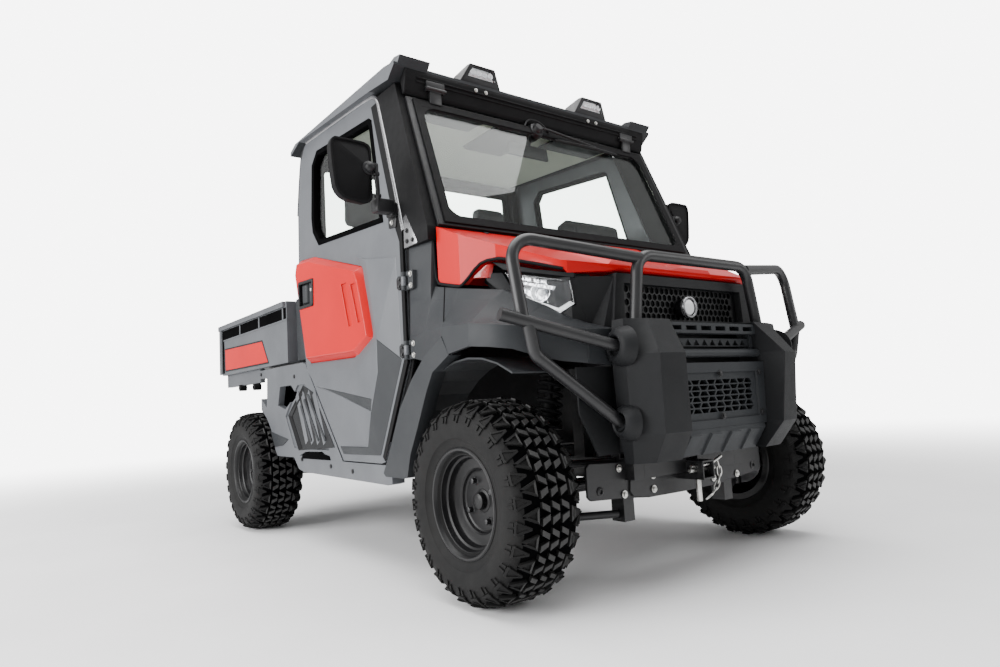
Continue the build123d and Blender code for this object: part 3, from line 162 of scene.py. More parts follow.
def addFloor():
    # pale floor whose far part fades into the white surround
    bpy.ops.mesh.primitive_circle_add(vertices=64, radius=40, fill_type="NGON", location=(0, 0, 0))
    floor = bpy.context.object
    floor.name = "studioFloor"
    finish = surface("paleStudio", ((0.88, 0.88, 0.885), (0.93, 0.93, 0.935)), 1.4, (0.5, 0.7),
        ("noise", 22, 0.002, 0.25), {})
    tree = finish.node_tree
    glow = addNode(tree, "Emission")
    tree.links.new(seenLevel(tree), glow.inputs["Strength"])
    place = addNode(tree, "TexCoord")
    reach = addNode(tree, "VectorMath")
    reach.operation = "LENGTH"
    fade = addNode(tree, "MapRange", From_Min=light["floorNear"], From_Max=light["floorFar"])
    fade.interpolation_type = "SMOOTHSTEP"
    blend = addNode(tree, "MixShader")
    tree.links.new(place.outputs["Object"], reach.inputs[0])
    tree.links.new(reach.outputs["Value"], fade.inputs["Value"])
    tree.links.new(fade.outputs[0], blend.inputs[0])
    tree.links.new(tree.nodes["Principled BSDF"].outputs[0], blend.inputs[1])
    tree.links.new(glow.outputs[0], blend.inputs[2])
    tree.links.new(blend.outputs[0], tree.nodes["Material Output"].inputs["Surface"])
    floor.data.materials.append(finish)


# ---------- finishes ----------
def startFinish(name, values):
    # a new material, its shader with constants on the sockets, its object coordinates and a way to add noise
    finish = bpy.data.materials.new(name)
    finish.use_nodes = True
    tree = finish.node_tree
    shader = tree.nodes["Principled BSDF"]
    for socket, value in values.items():
        shader.inputs[socket].default_value = value
    place = addNode(tree, "TexCoord")

    def noise(scale, detail=2.0, kind="TexNoise"):
        texture = addNode(tree, kind, Scale=scale)
        if kind == "TexNoise":
            texture.inputs["Detail"].default_value = detail
        tree.links.new(place.outputs["Object"], texture.inputs["Vector"])
        return texture.outputs[0]

    def roughen(source, low, high):
        uneven = addNode(tree, "MapRange", To_Min=low, To_Max=high)
        tree.links.new(source, uneven.inputs["Value"])
        tree.links.new(uneven.outputs[0], shader.inputs["Roughness"])

    return finish, tree, shader, noise, roughen


def surface(name, colours, blotch, rough, grain, values):
    # one painted, moulded or cast finish: colour blotches, uneven gloss and a grain in the relief
    finish, tree, shader, noise, roughen = startFinish(name, values)
    stain = noise(blotch, 3.0)
    ramp = addNode(tree, "ValToRGB")
    for stop, position, colour in zip(ramp.color_ramp.elements, (0.3, 0.7), colours):
        stop.position = position
        stop.color = (*colour, 1)
    tree.links.new(stain, ramp.inputs[0])
    tree.links.new(ramp.outputs[0], shader.inputs["Base Color"])
    roughen(noise(blotch * 3.1, 5.0), *rough)
    kind, scale, depth, *strength = grain
    bumps = noise(scale, 4.0, "TexVoronoi" if kind == "pebble" else "TexNoise")
    relief = addNode(tree, "Bump", Strength=strength[0] if strength else 0.5, Distance=depth)
    tree.links.new(bumps, relief.inputs["Height"])
    tree.links.new(relief.outputs[0], shader.inputs["Normal"])
    return finish


# finish: its two colours, how fine they blotch, roughness from and to, the grain's kind, scale, depth and,
# where it isn't 0.5, strength, and the shader's other values
looks = {
    "tyreRubber": (((0.005, 0.005, 0.0052), (0.008, 0.0078, 0.0076)), 9, (0.58, 0.76),
        ("noise", 420, 0.0004), {"Specular IOR Level": 0.16}),
    # lug tops: lighter rubber, as wear and painted highlight
    "tyreWearAndHighlight": (((0.020, 0.020, 0.0205), (0.034, 0.0335, 0.033)), 16, (0.5, 0.7), ("noise", 420, 0.0004),
        {"Specular IOR Level": 0.3}),
    "wheelGloss": (((0.003, 0.003, 0.0035), (0.005, 0.005, 0.0055)), 14, (0.34, 0.46),
        ("noise", 260, 0.00015), {"Specular IOR Level": 0.3}),
    "frameBlack": (((0.008, 0.008, 0.009), (0.012, 0.012, 0.013)), 12, (0.34, 0.46), ("noise", 900, 0.0003),
        {"Specular IOR Level": 0.4, "Coat Weight": 0.1, "Coat Roughness": 0.25}),
    "grainedCharcoal": (((0.018, 0.020, 0.0225), (0.024, 0.026, 0.0285)), 7, (0.46, 0.6),
        ("pebble", 750, 0.0004), {"Specular IOR Level": 0.25}),
    "guardBlack": (((0.007, 0.0075, 0.0085), (0.010, 0.0105, 0.0115)), 7, (0.5, 0.64),
        ("pebble", 750, 0.0004), {"Specular IOR Level": 0.22}),
    "satinGrey": (((0.080, 0.085, 0.093), (0.098, 0.103, 0.112)), 6, (0.40, 0.52), ("noise", 800, 0.0003),
        {"Metallic": 0.15}),
    "glossRed": (((0.46, 0.002, 0.003), (0.52, 0.003, 0.004)), 3, (0.30, 0.38),
        ("noise", 130, 0.0002, 0.25),
        {"Coat Weight": 0.22, "Coat Roughness": 0.07, "Specular IOR Level": 0.16}),
    "trimBlack": (((0.005, 0.005, 0.006), (0.008, 0.008, 0.009)), 9, (0.36, 0.52), ("pebble", 900, 0.0003),
        {"Specular IOR Level": 0.3}),
    "rubberBlack": (((0.0035, 0.0035, 0.004), (0.006, 0.006, 0.0065)), 9, (0.55, 0.72),
        ("noise", 700, 0.0002), {"Specular IOR Level": 0.12}),
    # painted shade: near black with hardly any gloss, for the tyre grooves, slots, recesses, window channels
    # and sheets behind openings
    "paintedShadeBlack": (((0.0008, 0.0008, 0.001), (0.0016, 0.0016, 0.0018)), 9, (0.85, 0.95),
        ("noise", 500, 0.0002), {"Specular IOR Level": 0.02}),
    "glossBlack": (((0.006, 0.006, 0.007), (0.009, 0.009, 0.010)), 9, (0.08, 0.16), ("noise", 60, 0.0001),
        {"Coat Weight": 0.6, "Coat Roughness": 0.04}),
    "headliner": (((0.50, 0.53, 0.42), (0.58, 0.60, 0.48)), 8, (0.85, 0.95), ("pebble", 620, 0.0006),
        {"Sheen Weight": 0.25}),
    "seatVinyl": (((0.030, 0.030, 0.033), (0.044, 0.044, 0.048)), 10, (0.42, 0.56), ("pebble", 480, 0.0005),
        {"Sheen Weight": 0.1}),
    "castGrey": (((0.22, 0.22, 0.23), (0.33, 0.33, 0.34)), 18, (0.42, 0.6), ("pebble", 380, 0.0009),
        {"Metallic": 0.85}),
    "zincSteel": (((0.52, 0.52, 0.50), (0.66, 0.65, 0.62)), 30, (0.22, 0.36), ("noise", 500, 0.0002),
        {"Metallic": 1.0}),
    "mirrorGlass": (((0.80, 0.82, 0.84), (0.84, 0.86, 0.88)), 4, (0.015, 0.03), ("noise", 8, 0.00005, 0.1),
        {"Metallic": 1.0}),
    "lampRed": (((0.36, 0.006, 0.006), (0.46, 0.010, 0.010)), 40, (0.10, 0.2), ("pebble", 260, 0.0012),
        {"Coat Weight": 1.0}),
    "lampWhite": (((0.86, 0.87, 0.88), (0.93, 0.94, 0.95)), 30, (0.08, 0.2), ("pebble", 180, 0.0012),
        {"Coat Weight": 1.0}),
    "reflector": (((0.82, 0.83, 0.85), (0.90, 0.91, 0.93)), 25, (0.06, 0.16), ("pebble", 90, 0.0015),
        {"Metallic": 0.55}),
    "badgeGrey": (((0.30, 0.30, 0.31), (0.36, 0.36, 0.37)), 20, (0.2, 0.3), ("noise", 400, 0.0001),
        {"Metallic": 0.8}),
}
finishes = {name: surface(name, *look) for name, look in looks.items()}


def clearGlass(name, tint, rough, dust):
    # solid pane: tinted, with a faint film that dulls the gloss here and there
    finish, tree, shader, noise, roughen = startFinish(name, {"Base Color": (*tint, 1),
        "Transmission Weight": 1.0, "IOR": 1.30})
    roughen(noise(dust), *rough)
    return finish


finishes["cabGlass"] = clearGlass("cabGlass", (0.90, 0.95, 0.92), (0.0, 0.01), 5)
finishes["lensGlass"] = clearGlass("lensGlass", (0.97, 0.98, 0.99), (0.0, 0.03), 20)
print("finishes made")


# ---------- shaping helpers ----------
def deselectAll():
    if bpy.context.object and bpy.context.object.mode != "OBJECT":
        bpy.ops.object.mode_set(mode="OBJECT")
    bpy.ops.object.select_all(action="DESELECT")


def selectOnly(piece):
    deselectAll()
    piece.select_set(True)
    bpy.context.view_layer.objects.active = piece


def openPiece(piece, pick="SELECT"):
    # into edit mode, with all or none of the mesh selected
    selectOnly(piece)
    bpy.ops.object.mode_set(mode="EDIT")
    bpy.ops.mesh.select_all(action=pick)
    return piece


def closePiece(piece):
    bpy.ops.object.mode_set(mode="OBJECT")
    return piece


def startPiece(name, kind, **options):
    # a new primitive as its own object, place and size already in its mesh
    deselectAll()
    getattr(bpy.ops.mesh, "primitive_" + kind + "_add")(**options)
    piece = bpy.context.object
    piece.name = piece.data.name = name
    bpy.ops.object.transform_apply(location=True, rotation=True, scale=True)
    return piece


def startSheet(name, outline, fill="NGON"):
    # one flat face, or its bare outline, through the points
    piece = startPiece(name, "circle", vertices=len(outline), radius=1, fill_type=fill)
    for vertex, point in zip(piece.data.vertices, outline):
        vertex.co = point
    return piece


def startEmpty(name, corners):
    # no mesh yet, open for addFace; corners is how many the first face has, which keeps its points in order
    piece = startPiece(name, "circle", vertices=corners, radius=1, fill_type="NGON")
    bpy.ops.object.mode_set(mode="EDIT")
    bpy.ops.mesh.delete(type="VERT")
    return piece


def addFace(piece, corners):
    # one more face in the open piece, left selected alone
    bpy.ops.mesh.select_all(action="DESELECT")
    bpy.ops.mesh.primitive_circle_add(vertices=len(corners), radius=1, fill_type="NGON")
    shape = bmesh.from_edit_mesh(piece.data)
    for vertex, corner in zip([v for v in shape.verts if v.select], corners):
        vertex.co = corner
    bmesh.update_edit_mesh(piece.data)


def weld(distance=1e-6):
    # all of the open mesh's corners that meet become one, faces outward
    bpy.ops.mesh.select_all(action="SELECT")
    bpy.ops.mesh.remove_doubles(threshold=distance)
    bpy.ops.mesh.normals_make_consistent(inside=False)


def thicken(away):
    # the open, selected sheet becomes a solid that reaches out along away
    bpy.ops.mesh.duplicate()
    bpy.ops.mesh.extrude_region_move(TRANSFORM_OT_translate={"value": away})
    weld()


def joinPieces(pieces, name):
    deselectAll()
    for piece in pieces:
        piece.select_set(True)
    bpy.context.view_layer.objects.active = pieces[0]
    if len(pieces) > 1:
        bpy.ops.object.join()
    pieces[0].name = pieces[0].data.name = name
    return pieces[0]


def copyPiece(piece, name, turn=None, mirror=False):
    # the copy has its own mesh, with the move put into it
    mesh = piece.data.copy()
    if turn is not None:
        mesh.transform(turn)
    if mirror:
        mesh.flip_normals()
    twin = bpy.data.objects.new(name, mesh)
    mesh.name = name
    bpy.context.scene.collection.objects.link(twin)
    return twin


shading = {"flatCorners": 8, "flatArea": 0.012}


def settle(piece, finish, smooth=32, body="chassis", replaced=()):
    # finish, shading and ride of a finished piece
    selectOnly(piece)
    piece.data.materials.clear()
    piece.data.materials.append(finishes[finish])
    bpy.ops.object.shade_smooth_by_angle(angle=radians(smooth))
    for face in piece.data.polygons:
        # broad flat faces and outlines of many corners shade flat
        if len(face.vertices) > shading["flatCorners"] or face.area > shading["flatArea"]:
            face.use_smooth = False
    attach(piece, body)
    if replaced:
        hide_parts(*replaced)
    return piece


def bevelAll(piece, width, segments=1):
    openPiece(piece)
    bpy.ops.mesh.bevel(offset=width, segments=segments, affect="EDGES")
    return closePiece(piece)


def bevelSharp(piece, width, segments, sharp=30, **options):
    # rounds the edges that turn by more than sharp degrees
    openPiece(piece, "DESELECT")
    bpy.ops.mesh.select_mode(type="EDGE")
    bpy.ops.mesh.edges_select_sharp(sharpness=radians(sharp))
    bpy.ops.mesh.bevel(offset=width, segments=segments, affect="EDGES", clamp_overlap=True, **options)
    bpy.ops.mesh.select_mode(type="VERT")
    return closePiece(piece)


def addBlock(name, low, high, bevel=0.0, segments=2):
    middle = [(a + b) / 2 for a, b in zip(low, high)]
    piece = startPiece(name, "cube", size=1, location=middle, scale=[abs(b - a) for a, b in zip(low, high)])
    return bevelAll(piece, bevel, segments) if bevel else piece


def addRod(name, start, end, radius, sides=24, bevel=0.0):
    start, end = Vector(start), Vector(end)
    way = end - start
    turn = way.to_track_quat("Z", "Y").to_euler()
    piece = startPiece(name, "cylinder", vertices=sides, radius=radius, depth=way.length,
        location=(start + end) / 2, rotation=turn)
    if bevel:
        # only the round ends
        closePiece(openPiece(piece, "DESELECT"))
        for face in piece.data.polygons:
            face.select = len(face.vertices) > 4
        bpy.ops.object.mode_set(mode="EDIT")
        bpy.ops.mesh.bevel(offset=bevel, segments=2, affect="EDGES")
        closePiece(piece)
    return piece


def addPrism(name, outline, away, bevel=0.0, segments=2):
    # a flat outline of points pushed out along away, closed at both ends
    piece = startSheet(name, outline)
    openPiece(piece)
    thicken(away)
    if bevel:
        bpy.ops.mesh.bevel(offset=bevel, segments=segments, affect="EDGES")
    return closePiece(piece)


def addSpun(name, profile, centre=(0, 0, 0), axis=(0, 1, 0), steps=48):
    # profile of (radius, along) points turned about the axis through centre
    axis, centre = Vector(axis).normalized(), Vector(centre)
    side = axis.orthogonal().normalized()
    piece = startSheet(name, [centre + side * radius + axis * along for radius, along in profile], "NOTHING")
    openPiece(piece)
    bpy.ops.mesh.spin(steps=steps, angle=2 * pi, center=centre, axis=axis)
    weld(1e-5)
    return closePiece(piece)


def addTube(name, points, radius, resolution=4, cyclic=False, smoothLine=True):
    # a round tube along a smooth line through the points' hull
    line = bpy.data.curves.new(name, "CURVE")
    line.dimensions = "3D"
    line.bevel_depth = radius
    line.bevel_resolution = resolution
    line.use_fill_caps = True
    run = line.splines.new("NURBS" if smoothLine else "POLY")
    run.points.add(len(points) - 1)
    for spot, point in zip(run.points, points):
        spot.co = (*point, 1)
    if smoothLine:
        run.order_u = 3
        run.use_endpoint_u = True
        run.resolution_u = 6
    run.use_cyclic_u = cyclic
    holder = bpy.data.objects.new(name, line)
    bpy.context.scene.collection.objects.link(holder)
    selectOnly(holder)
    bpy.ops.object.convert(target="MESH")
    return bpy.context.object


# ---------- tyres ----------
tyre = {"pitches": 26, "radius": 318.0,
        # half of the casing's cross-section: out from the middle, radius
        "casing": [(0, 306), (30, 306), (58, 305), (82, 301), (98, 294), (110, 283), (118, 268), (122, 247),
            (121.5, 226), (117, 206), (116.5, 203), (113, 199), (108, 184), (106, 178), (103, 170),
            (99, 157)],
        # the rest of the ring round its inside: radius, out from the middle
        "bead": [(150, -90), (200, -108), (280, -90), (292, 0), (280, 90), (200, 108), (150, 90)],
        "columns": (-36, 0, 36), "blockHalf": 13.5, "lugTall": 12.0, "lugEdge": 1.2, "sink": 3.0,
        "stations": 96,
        # radii, in metres, between which the casing gets the painted-shade black, and beyond which the lug
        # faces are lighter, as wear and painted highlight
        "casingShade": (0.29, 0.3075), "lugWearAndHighlight": 0.3115}


def casingPoint(across):
    # place and outward direction on the casing, across mm from the middle along its surface
    side = -1 if across < 0 else 1
    left = abs(across)
    for (y0, r0), (y1, r1) in zip(tyre["casing"], tyre["casing"][1:]):
        run = hypot(y1 - y0, r1 - r0)
        if left <= run:
            break
        left -= run
    share = min(left / run, 1)
    return (side * (y0 + (y1 - y0) * share), r0 + (r1 - r0) * share, side * (r0 - r1) / run, (y1 - y0) / run)


def treadOutlines():
    # (outline as across, along), height, recessed middle
    half = tyre["blockHalf"]
    for column in tyre["columns"]:
        low = [(column - half, -3), (column + half, 12), (column + half, 30), (column - half, 14)]
        high = [(column - half, 44), (column + half, 33), (column + half, 50), (column - half, 65)]
        yield low, tyre["lugTall"], 0
        yield high, tyre["lugTall"], 0
    for side in (-1, 1):
        shift = 10 if side > 0 else 0
        yield [(side * a, s + shift) for a, s in ((59, 10), (104, 30), (104, 38), (59, 58))], 12.0, 5.5
        yield [(side * a, s + shift) for a, s in ((80, 66), (118, 48), (127, 50), (127, 91), (118, 93),
            (80, 74))], 8.0, 3.0
        yield [(side * a, s + shift) for a, s in ((130, 53), (146, 56), (146, 64), (130, 66))], 5.0, 0
        yield [(side * a, s + shift) for a, s in ((130, 74), (152, 77), (152, 84), (130, 88))], 5.0, 0


def makeTyre(name):
    # lugs drawn flat, along in x and across in y, then wrapped onto the casing and repeated at each pitch
    lugs = startEmpty(name + "Lugs", 4)
    for outline, tall, recess in treadOutlines():
        addFace(lugs, [(along, across, -tyre["sink"]) for across, along in outline])
        middle = [sum(c) / len(outline) for c in zip(*outline)]
        for climb in (tall + tyre["sink"] - tyre["lugEdge"], tyre["lugEdge"]):
            bpy.ops.mesh.extrude_region_move(TRANSFORM_OT_translate={"value": (0, 0, climb)})
        bpy.ops.transform.resize(value=(0.93, 0.93, 1), center_override=(middle[1], middle[0], tall))
        if recess:
            bpy.ops.mesh.inset(thickness=6.5)
            bpy.ops.mesh.inset(thickness=0.8, depth=-recess)
    shape = bmesh.from_edit_mesh(lugs.data)
    for vertex in shape.verts:
        along, across, tall = vertex.co
        y, radius, outY, outR = casingPoint(across)
        reach = radius + tall * outR
        turn = along / tyre["radius"]
        vertex.co = (reach * sin(turn) / 1000, (y + tall * outY) / 1000, reach * cos(turn) / 1000)
    bmesh.update_edit_mesh(lugs.data)
    bpy.ops.mesh.select_all(action="SELECT")
    bpy.ops.mesh.normals_make_consistent(inside=False)
    count = tyre["pitches"]
    bpy.ops.mesh.spin(steps=count - 1, angle=2 * pi * (count - 1) / count, center=(0, 0, 0), axis=(0, 1, 0),
        dupli=True)
    closePiece(lugs)
    outer = [(r, y) for y, r in tyre["casing"]]
    ring = outer[::-1] + [(r, -y) for r, y in outer[1:]] + tyre["bead"]
    casing = addSpun(name + "Casing", [(r / 1000, y / 1000) for r, y in ring], steps=tyre["stations"])
    return joinPieces([casing, lugs], name)


# ---------- wheels ----------
wheel = {"steps": 72, "nuts": 4, "nutCircle": 0.0685, "nutRadius": 0.0105,
    "section": [(144, -106), (168, -107), (172, -104), (170, -98), (156, -96), (153, -84), (148, -66),
    (148, 60), (152, 80), (155, 96), (168, 97), (173, 101), (173, 106), (169, 109), (163, 108), (157, 101),
    (154, 92), (148, 87), (146, 76), (144, 70), (138, 66), (136, 50), (134, 46), (124, 43), (112, 42),
    (104, 41), (99, 37), (96, 29), (91, 26), (30, 26), (30, 20), (88, 20), (93, 23), (97, 32), (104, 36),
    (122, 38), (136, 40), (142, 34), (144, 20)]}


def addNut(place, radius, tall):
    # hexagon on a cone seat, its end rounded
    x, y, z = place
    nut = addRod("nut", (x, y, z), (x, y + tall, z), radius, sides=6, bevel=radius * 0.22)
    seat = startPiece("nutSeat", "cone", vertices=20, radius1=radius * 1.35, radius2=radius * 1.02,
        depth=0.004, location=(x, y + 0.002, z), rotation=(-pi / 2, 0, 0))
    return joinPieces([nut, seat], "nut")


def makeWheel():
    # dished rim, its nuts with the cap, and the valve, for a left wheel about the origin
    rim = addSpun("rim", [(r / 1000, y / 1000) for r, y in wheel["section"]], steps=wheel["steps"])
    nuts = []
    for step in range(wheel["nuts"]):
        angle = pi / 4 + step * 2 * pi / wheel["nuts"]
        reach = wheel["nutCircle"]
        nuts.append(addNut((reach * cos(angle), 0.0255, reach * sin(angle)), wheel["nutRadius"], 0.019))
    cap = addSpun("cap", [(0.0, 0.050), (0.018, 0.050), (0.0245, 0.047), (0.027, 0.041), (0.028, 0.030),
        (0.036, 0.0275), (0.0385, 0.0245), (0.0, 0.0245)], steps=32)
    stem = addRod("valve", (0.128, 0.040, 0.02), (0.121, 0.066, 0.019), 0.0042, sides=12, bevel=0.001)
    top = addRod("valveTop", (0.1215, 0.064, 0.019), (0.119, 0.073, 0.0188), 0.0055, sides=12, bevel=0.001)
    return rim, joinPieces(nuts, "nuts"), cap, joinPieces([stem, top], "valve")


treadSeed = makeTyre("tyreSeed")
rimSeed, nutSeed, capSeed, valveSeed = makeWheel()
sides = {"left": 1, "right": -1}
axles = {"front": layout["frontAxleX"], "rear": layout["rearAxleX"]}
for axle, axleX in axles.items():
    for side, sign in sides.items():
        wheelName = axle + "_" + side
        body = "wheel_" + wheelName
        spot = Matrix.Translation((axleX, sign * layout["track"], layout["wheelRadius"]))
        flip = Matrix.Diagonal((1, sign, 1, 1))
        turned = Matrix.Rotation(radians(17 if axle == "front" else 40), 4, "Y")
        inward = Matrix.Diagonal((1, -sign, 1, 1))
        mirrored = sign < 0
        tread = copyPiece(treadSeed, "tyre_tread_" + wheelName, spot @ inward @ turned, mirror=not mirrored)
        settle(tread, "tyreRubber", 28, body=body, replaced=["tyre_" + wheelName])
        # painted shade: the casing between the lugs is darker than they are; their tops are lighter grey, as
        # wear and painted highlight
        for finish in ("paintedShadeBlack", "tyreWearAndHighlight"):
            tread.data.materials.append(finishes[finish])
        reach = [hypot(v.co.x - axleX, v.co.z - layout["wheelRadius"]) for v in tread.data.vertices]
        for face in tread.data.polygons:
            inside = [reach[v] for v in face.vertices]
            if tyre["casingShade"][0] < min(inside) and max(inside) < tyre["casingShade"][1]:
                face.material_index = 1
            elif min(inside) > tyre["lugWearAndHighlight"]:
                face.material_index = 2
        parts = ((rimSeed, "rim_dish_", "wheelGloss", "wheel_black", ["rim_" + wheelName]),
            (nutSeed, "wheel_nuts_", "frameBlack", "frame_black", []),
            (capSeed, "wheel_cap_", "wheelGloss", "wheel_black", []),
            (valveSeed, "valve_", "trimBlack", "trim_black", []))
        for seed, label, finish, slotName, replaced in parts:
            part = copyPiece(seed, label + wheelName, spot @ flip @ turned, mirror=mirrored)
            settle(part, finish, 30, body=body, replaced=replaced)
for seed in (treadSeed, rimSeed, nutSeed, capSeed, valveSeed):
    bpy.data.objects.remove(seed)
print("tyres and wheels made")


# ---------- rounded edges on the rigid parts ----------
# the lamp bay: the fascia's cheek stands back behind the lens, and the hood's edge arches over it
trims = {"front_fascia": [((150, 420, 820), (280, 560, 1030), (-46, 0, 0))],
    "hood_panel": [((-40, 560, 1040), (60, 760, 1064), (0, 0, 34)),
    ((190, 480, 1005), (222, 600, 1030), (0, 0, 20))]}
merging = {"weld": 2e-5, "flat": 0.8}


def roundCopy(nodeName, width, segments, sharp=30):
    # merged copy of a frame node with its flat faces whole and its sharp edges rounded over
    piece = copyPiece(nodes[nodeName], nodeName + "_round", nodes[nodeName].matrix_world)
    for low, high, move in trims.get(nodeName, ()):
        # low and high corners of a box, in mm, on the left; both sides' points in it move by x, y, z
        for vertex in piece.data.vertices:
            x, y, z = vertex.co * 1000 - Vector((layout["frontAxleX"] * 1000, 0, 0))
            if low[0] <= x <= high[0] and low[1] <= abs(y) <= high[1] and low[2] <= z <= high[2]:
                vertex.co += Vector((move[0], move[1] if y > 0 else -move[1], move[2])) / 1000
    openPiece(piece)
    bpy.ops.mesh.remove_doubles(threshold=merging["weld"])
    bpy.ops.mesh.dissolve_limited(angle_limit=radians(merging["flat"]))
    return bevelSharp(piece, width, segments, sharp, loop_slide=False)


def forSides(pattern):
    # the names that a pattern with SIDE in it stands for
    return list(dict.fromkeys(pattern.replace("SIDE", side) for side in ("left", "right")))


roofSides = {"half": 0.655, "lean": 0.5}
# node, finish, slot, width of the rounding in mm, segments, smoothing angle
rounding = [
    ("front_fender_SIDE", "grainedCharcoal", "body_charcoal", 5.0, 2, 42),
    ("hood_panel", "glossRed", "body_red", 5.0, 2, 30),
    ("front_fascia", "guardBlack", "trim_black", 2.5, 2, 30),
    ("corner_guards", "guardBlack", "body_charcoal", 26.0, 5, 40),
    ("lower_grille", "grainedCharcoal", "body_charcoal", 1.2, 1, 30),
    ("door_shell_SIDE", "satinGrey", "body_charcoal", 4.0, 2, 30),
    ("door_insert_SIDE", "glossRed", "body_red", 6.0, 3, 40),
    ("quarter_panel_SIDE", "satinGrey", "body_charcoal", 3.0, 2, 30),
    ("roof_panel", "grainedCharcoal", "trim_black", 5.0, 2, 30),
    ("windshield_frame", "trimBlack", "trim_black", 3.0, 2, 30),
    ("cab_frame", "rubberBlack", "frame_black", 4.0, 2, 30),
    ("cab_rear_wall", "grainedCharcoal", "body_charcoal", 4.0, 2, 30),
    ("cargo_bed", "satinGrey", "body_charcoal", 1.6, 2, 30),
    ("tailgate", "satinGrey", "body_charcoal", 1.6, 2, 30),
    ("chassis_frame", "frameBlack", "frame_black", 1.5, 1, 30),
    ("front_receiver", "frameBlack", "frame_black", 1.5, 1, 30),
    ("dashboard", "trimBlack", "trim_black", 6.0, 2, 40),
    ("seat_base", "trimBlack", "trim_black", 3.0, 2, 30),
    ("headliner", "headliner", "headliner_cream", 3.0, 2, 30),
]
bodyOf = {node: body for body, members in frame["record"]["behaviour"]["bodies"].items() for node in members}
for pattern, finish, slotName, width, segments, smooth in rounding:
    for nodeName in forSides(pattern):
        rounded = settle(roundCopy(nodeName, width / 1000, segments), finish, smooth, body=bodyOf[nodeName],
            replaced=[nodeName])
        if nodeName == "roof_panel":
            # the sides of the roof are satin grey, like the doors under them
            rounded.data.materials.append(finishes["satinGrey"])
            for face in rounded.data.polygons:
                if abs(face.center.y) > roofSides["half"] and face.normal.x < roofSides["lean"]:
                    face.material_index = 1
print("rigid parts rounded")


# ---------- more shaping helpers ----------
mirrorY = Matrix.Diagonal((1, -1, 1, 1))
wall = {"half": 745.0, "waist": 1270.0, "lean": 40 / 675}


def settleBoth(piece, name, finish, smooth=32, body="chassis", replaced=()):
    # the left piece, or pieces to join, and its twin mirrored to the right; SIDE in a name stands for either
    if isinstance(piece, list):
        piece = joinPieces(piece, name)
    twin = copyPiece(piece, name + "_right", mirrorY, mirror=True)
    piece.name = piece.data.name = name + "_left"
    for part, side in ((piece, "left"), (twin, "right")):
        settle(part, finish, smooth, body.replace("SIDE", side),
            [node.replace("SIDE", side) for node in replaced])


def onWall(x, z, out=0.0):
    # point on the cab's left side, out mm from the sheet, which leans in above the waist
    return at(x, wall["half"] - wall["lean"] * max(z - wall["waist"], 0) + out, z)


def wallLine(out, spots):
    return [onWall(x, z, out) for x, z in spots]


def addWallPlate(name, outline, low, high, bevel=0.0, segments=2):
    return addPrism(name, wallLine(low, outline), (0, (high - low) / 1000, 0), bevel / 1000, segments)


def addRing(name, outline, width, away, bevel=0.0, rounding=0.0):
    # flat frame of one width inside an outline, pushed out along away
    piece = startSheet(name, outline)
    openPiece(piece)
    if rounding:
        bpy.ops.mesh.bevel(offset=rounding, segments=4, affect="VERTICES")
        bpy.ops.mesh.select_all(action="SELECT")
    bpy.ops.mesh.inset(thickness=width)
    bpy.ops.mesh.delete(type="FACE")
    bpy.ops.mesh.select_all(action="SELECT")
    thicken(away)
    closePiece(piece)
    return bevelSharp(piece, bevel, 2) if bevel else piece


def addLoft(name, low, high, bevel=0.0, segments=2):
    # solid between two outlines of as many points
    piece = startPiece(name, "cylinder", vertices=len(low), radius=1, depth=2)
    rings = {level: sorted((v for v in piece.data.vertices if v.co.z * level > 0),
        key=lambda v: (atan2(v.co.y, v.co.x) + 0.01) % (2 * pi)) for level in (1, -1)}
    for level, outline in ((1, high), (-1, low)):
        for vertex, point in zip(rings[level], outline):
            vertex.co = point
    openPiece(piece)
    bpy.ops.mesh.normals_make_consistent(inside=False)
    closePiece(piece)
    return bevelSharp(piece, bevel, segments, 12) if bevel else piece


def addBolt(place, way, radius=7.0, tall=5.0):
    # hexagon head on its washer, sizes in mm
    way = Vector(way).normalized()
    head = addRod("bolt", place, place + way * (tall + 1.5) / 1000, radius / 1000, sides=6,
        bevel=radius * 0.00018)
    washer = addRod("washer", place - way * 0.001, place + way * 0.0018, radius * 0.00145, sides=16,
        bevel=0.0004)
    return joinPieces([head, washer], "bolt")


def addBolts(name, places, way, radius=7.0, tall=5.0):
    return joinPieces([addBolt(place, way, radius, tall) for place in places], name)


def addCoil(name, start, end, coilRadius, wire, turns, perTurn=14):
    # open helix with closed, flat end turns
    start, end = Vector(start), Vector(end)
    way = end - start
    side = way.orthogonal().normalized()
    other = way.normalized().cross(side)
    points = []
    for step in range(int(turns * perTurn) + 1):
        angle = 2 * pi * step / perTurn
        share = step / (turns * perTurn)
        climb = (3 * share * share - 2 * share ** 3) * 0.35 + share * 0.65
        points.append(start + way * climb + (side * cos(angle) + other * sin(angle)) * coilRadius)
    return addTube(name, points, wire, resolution=3)


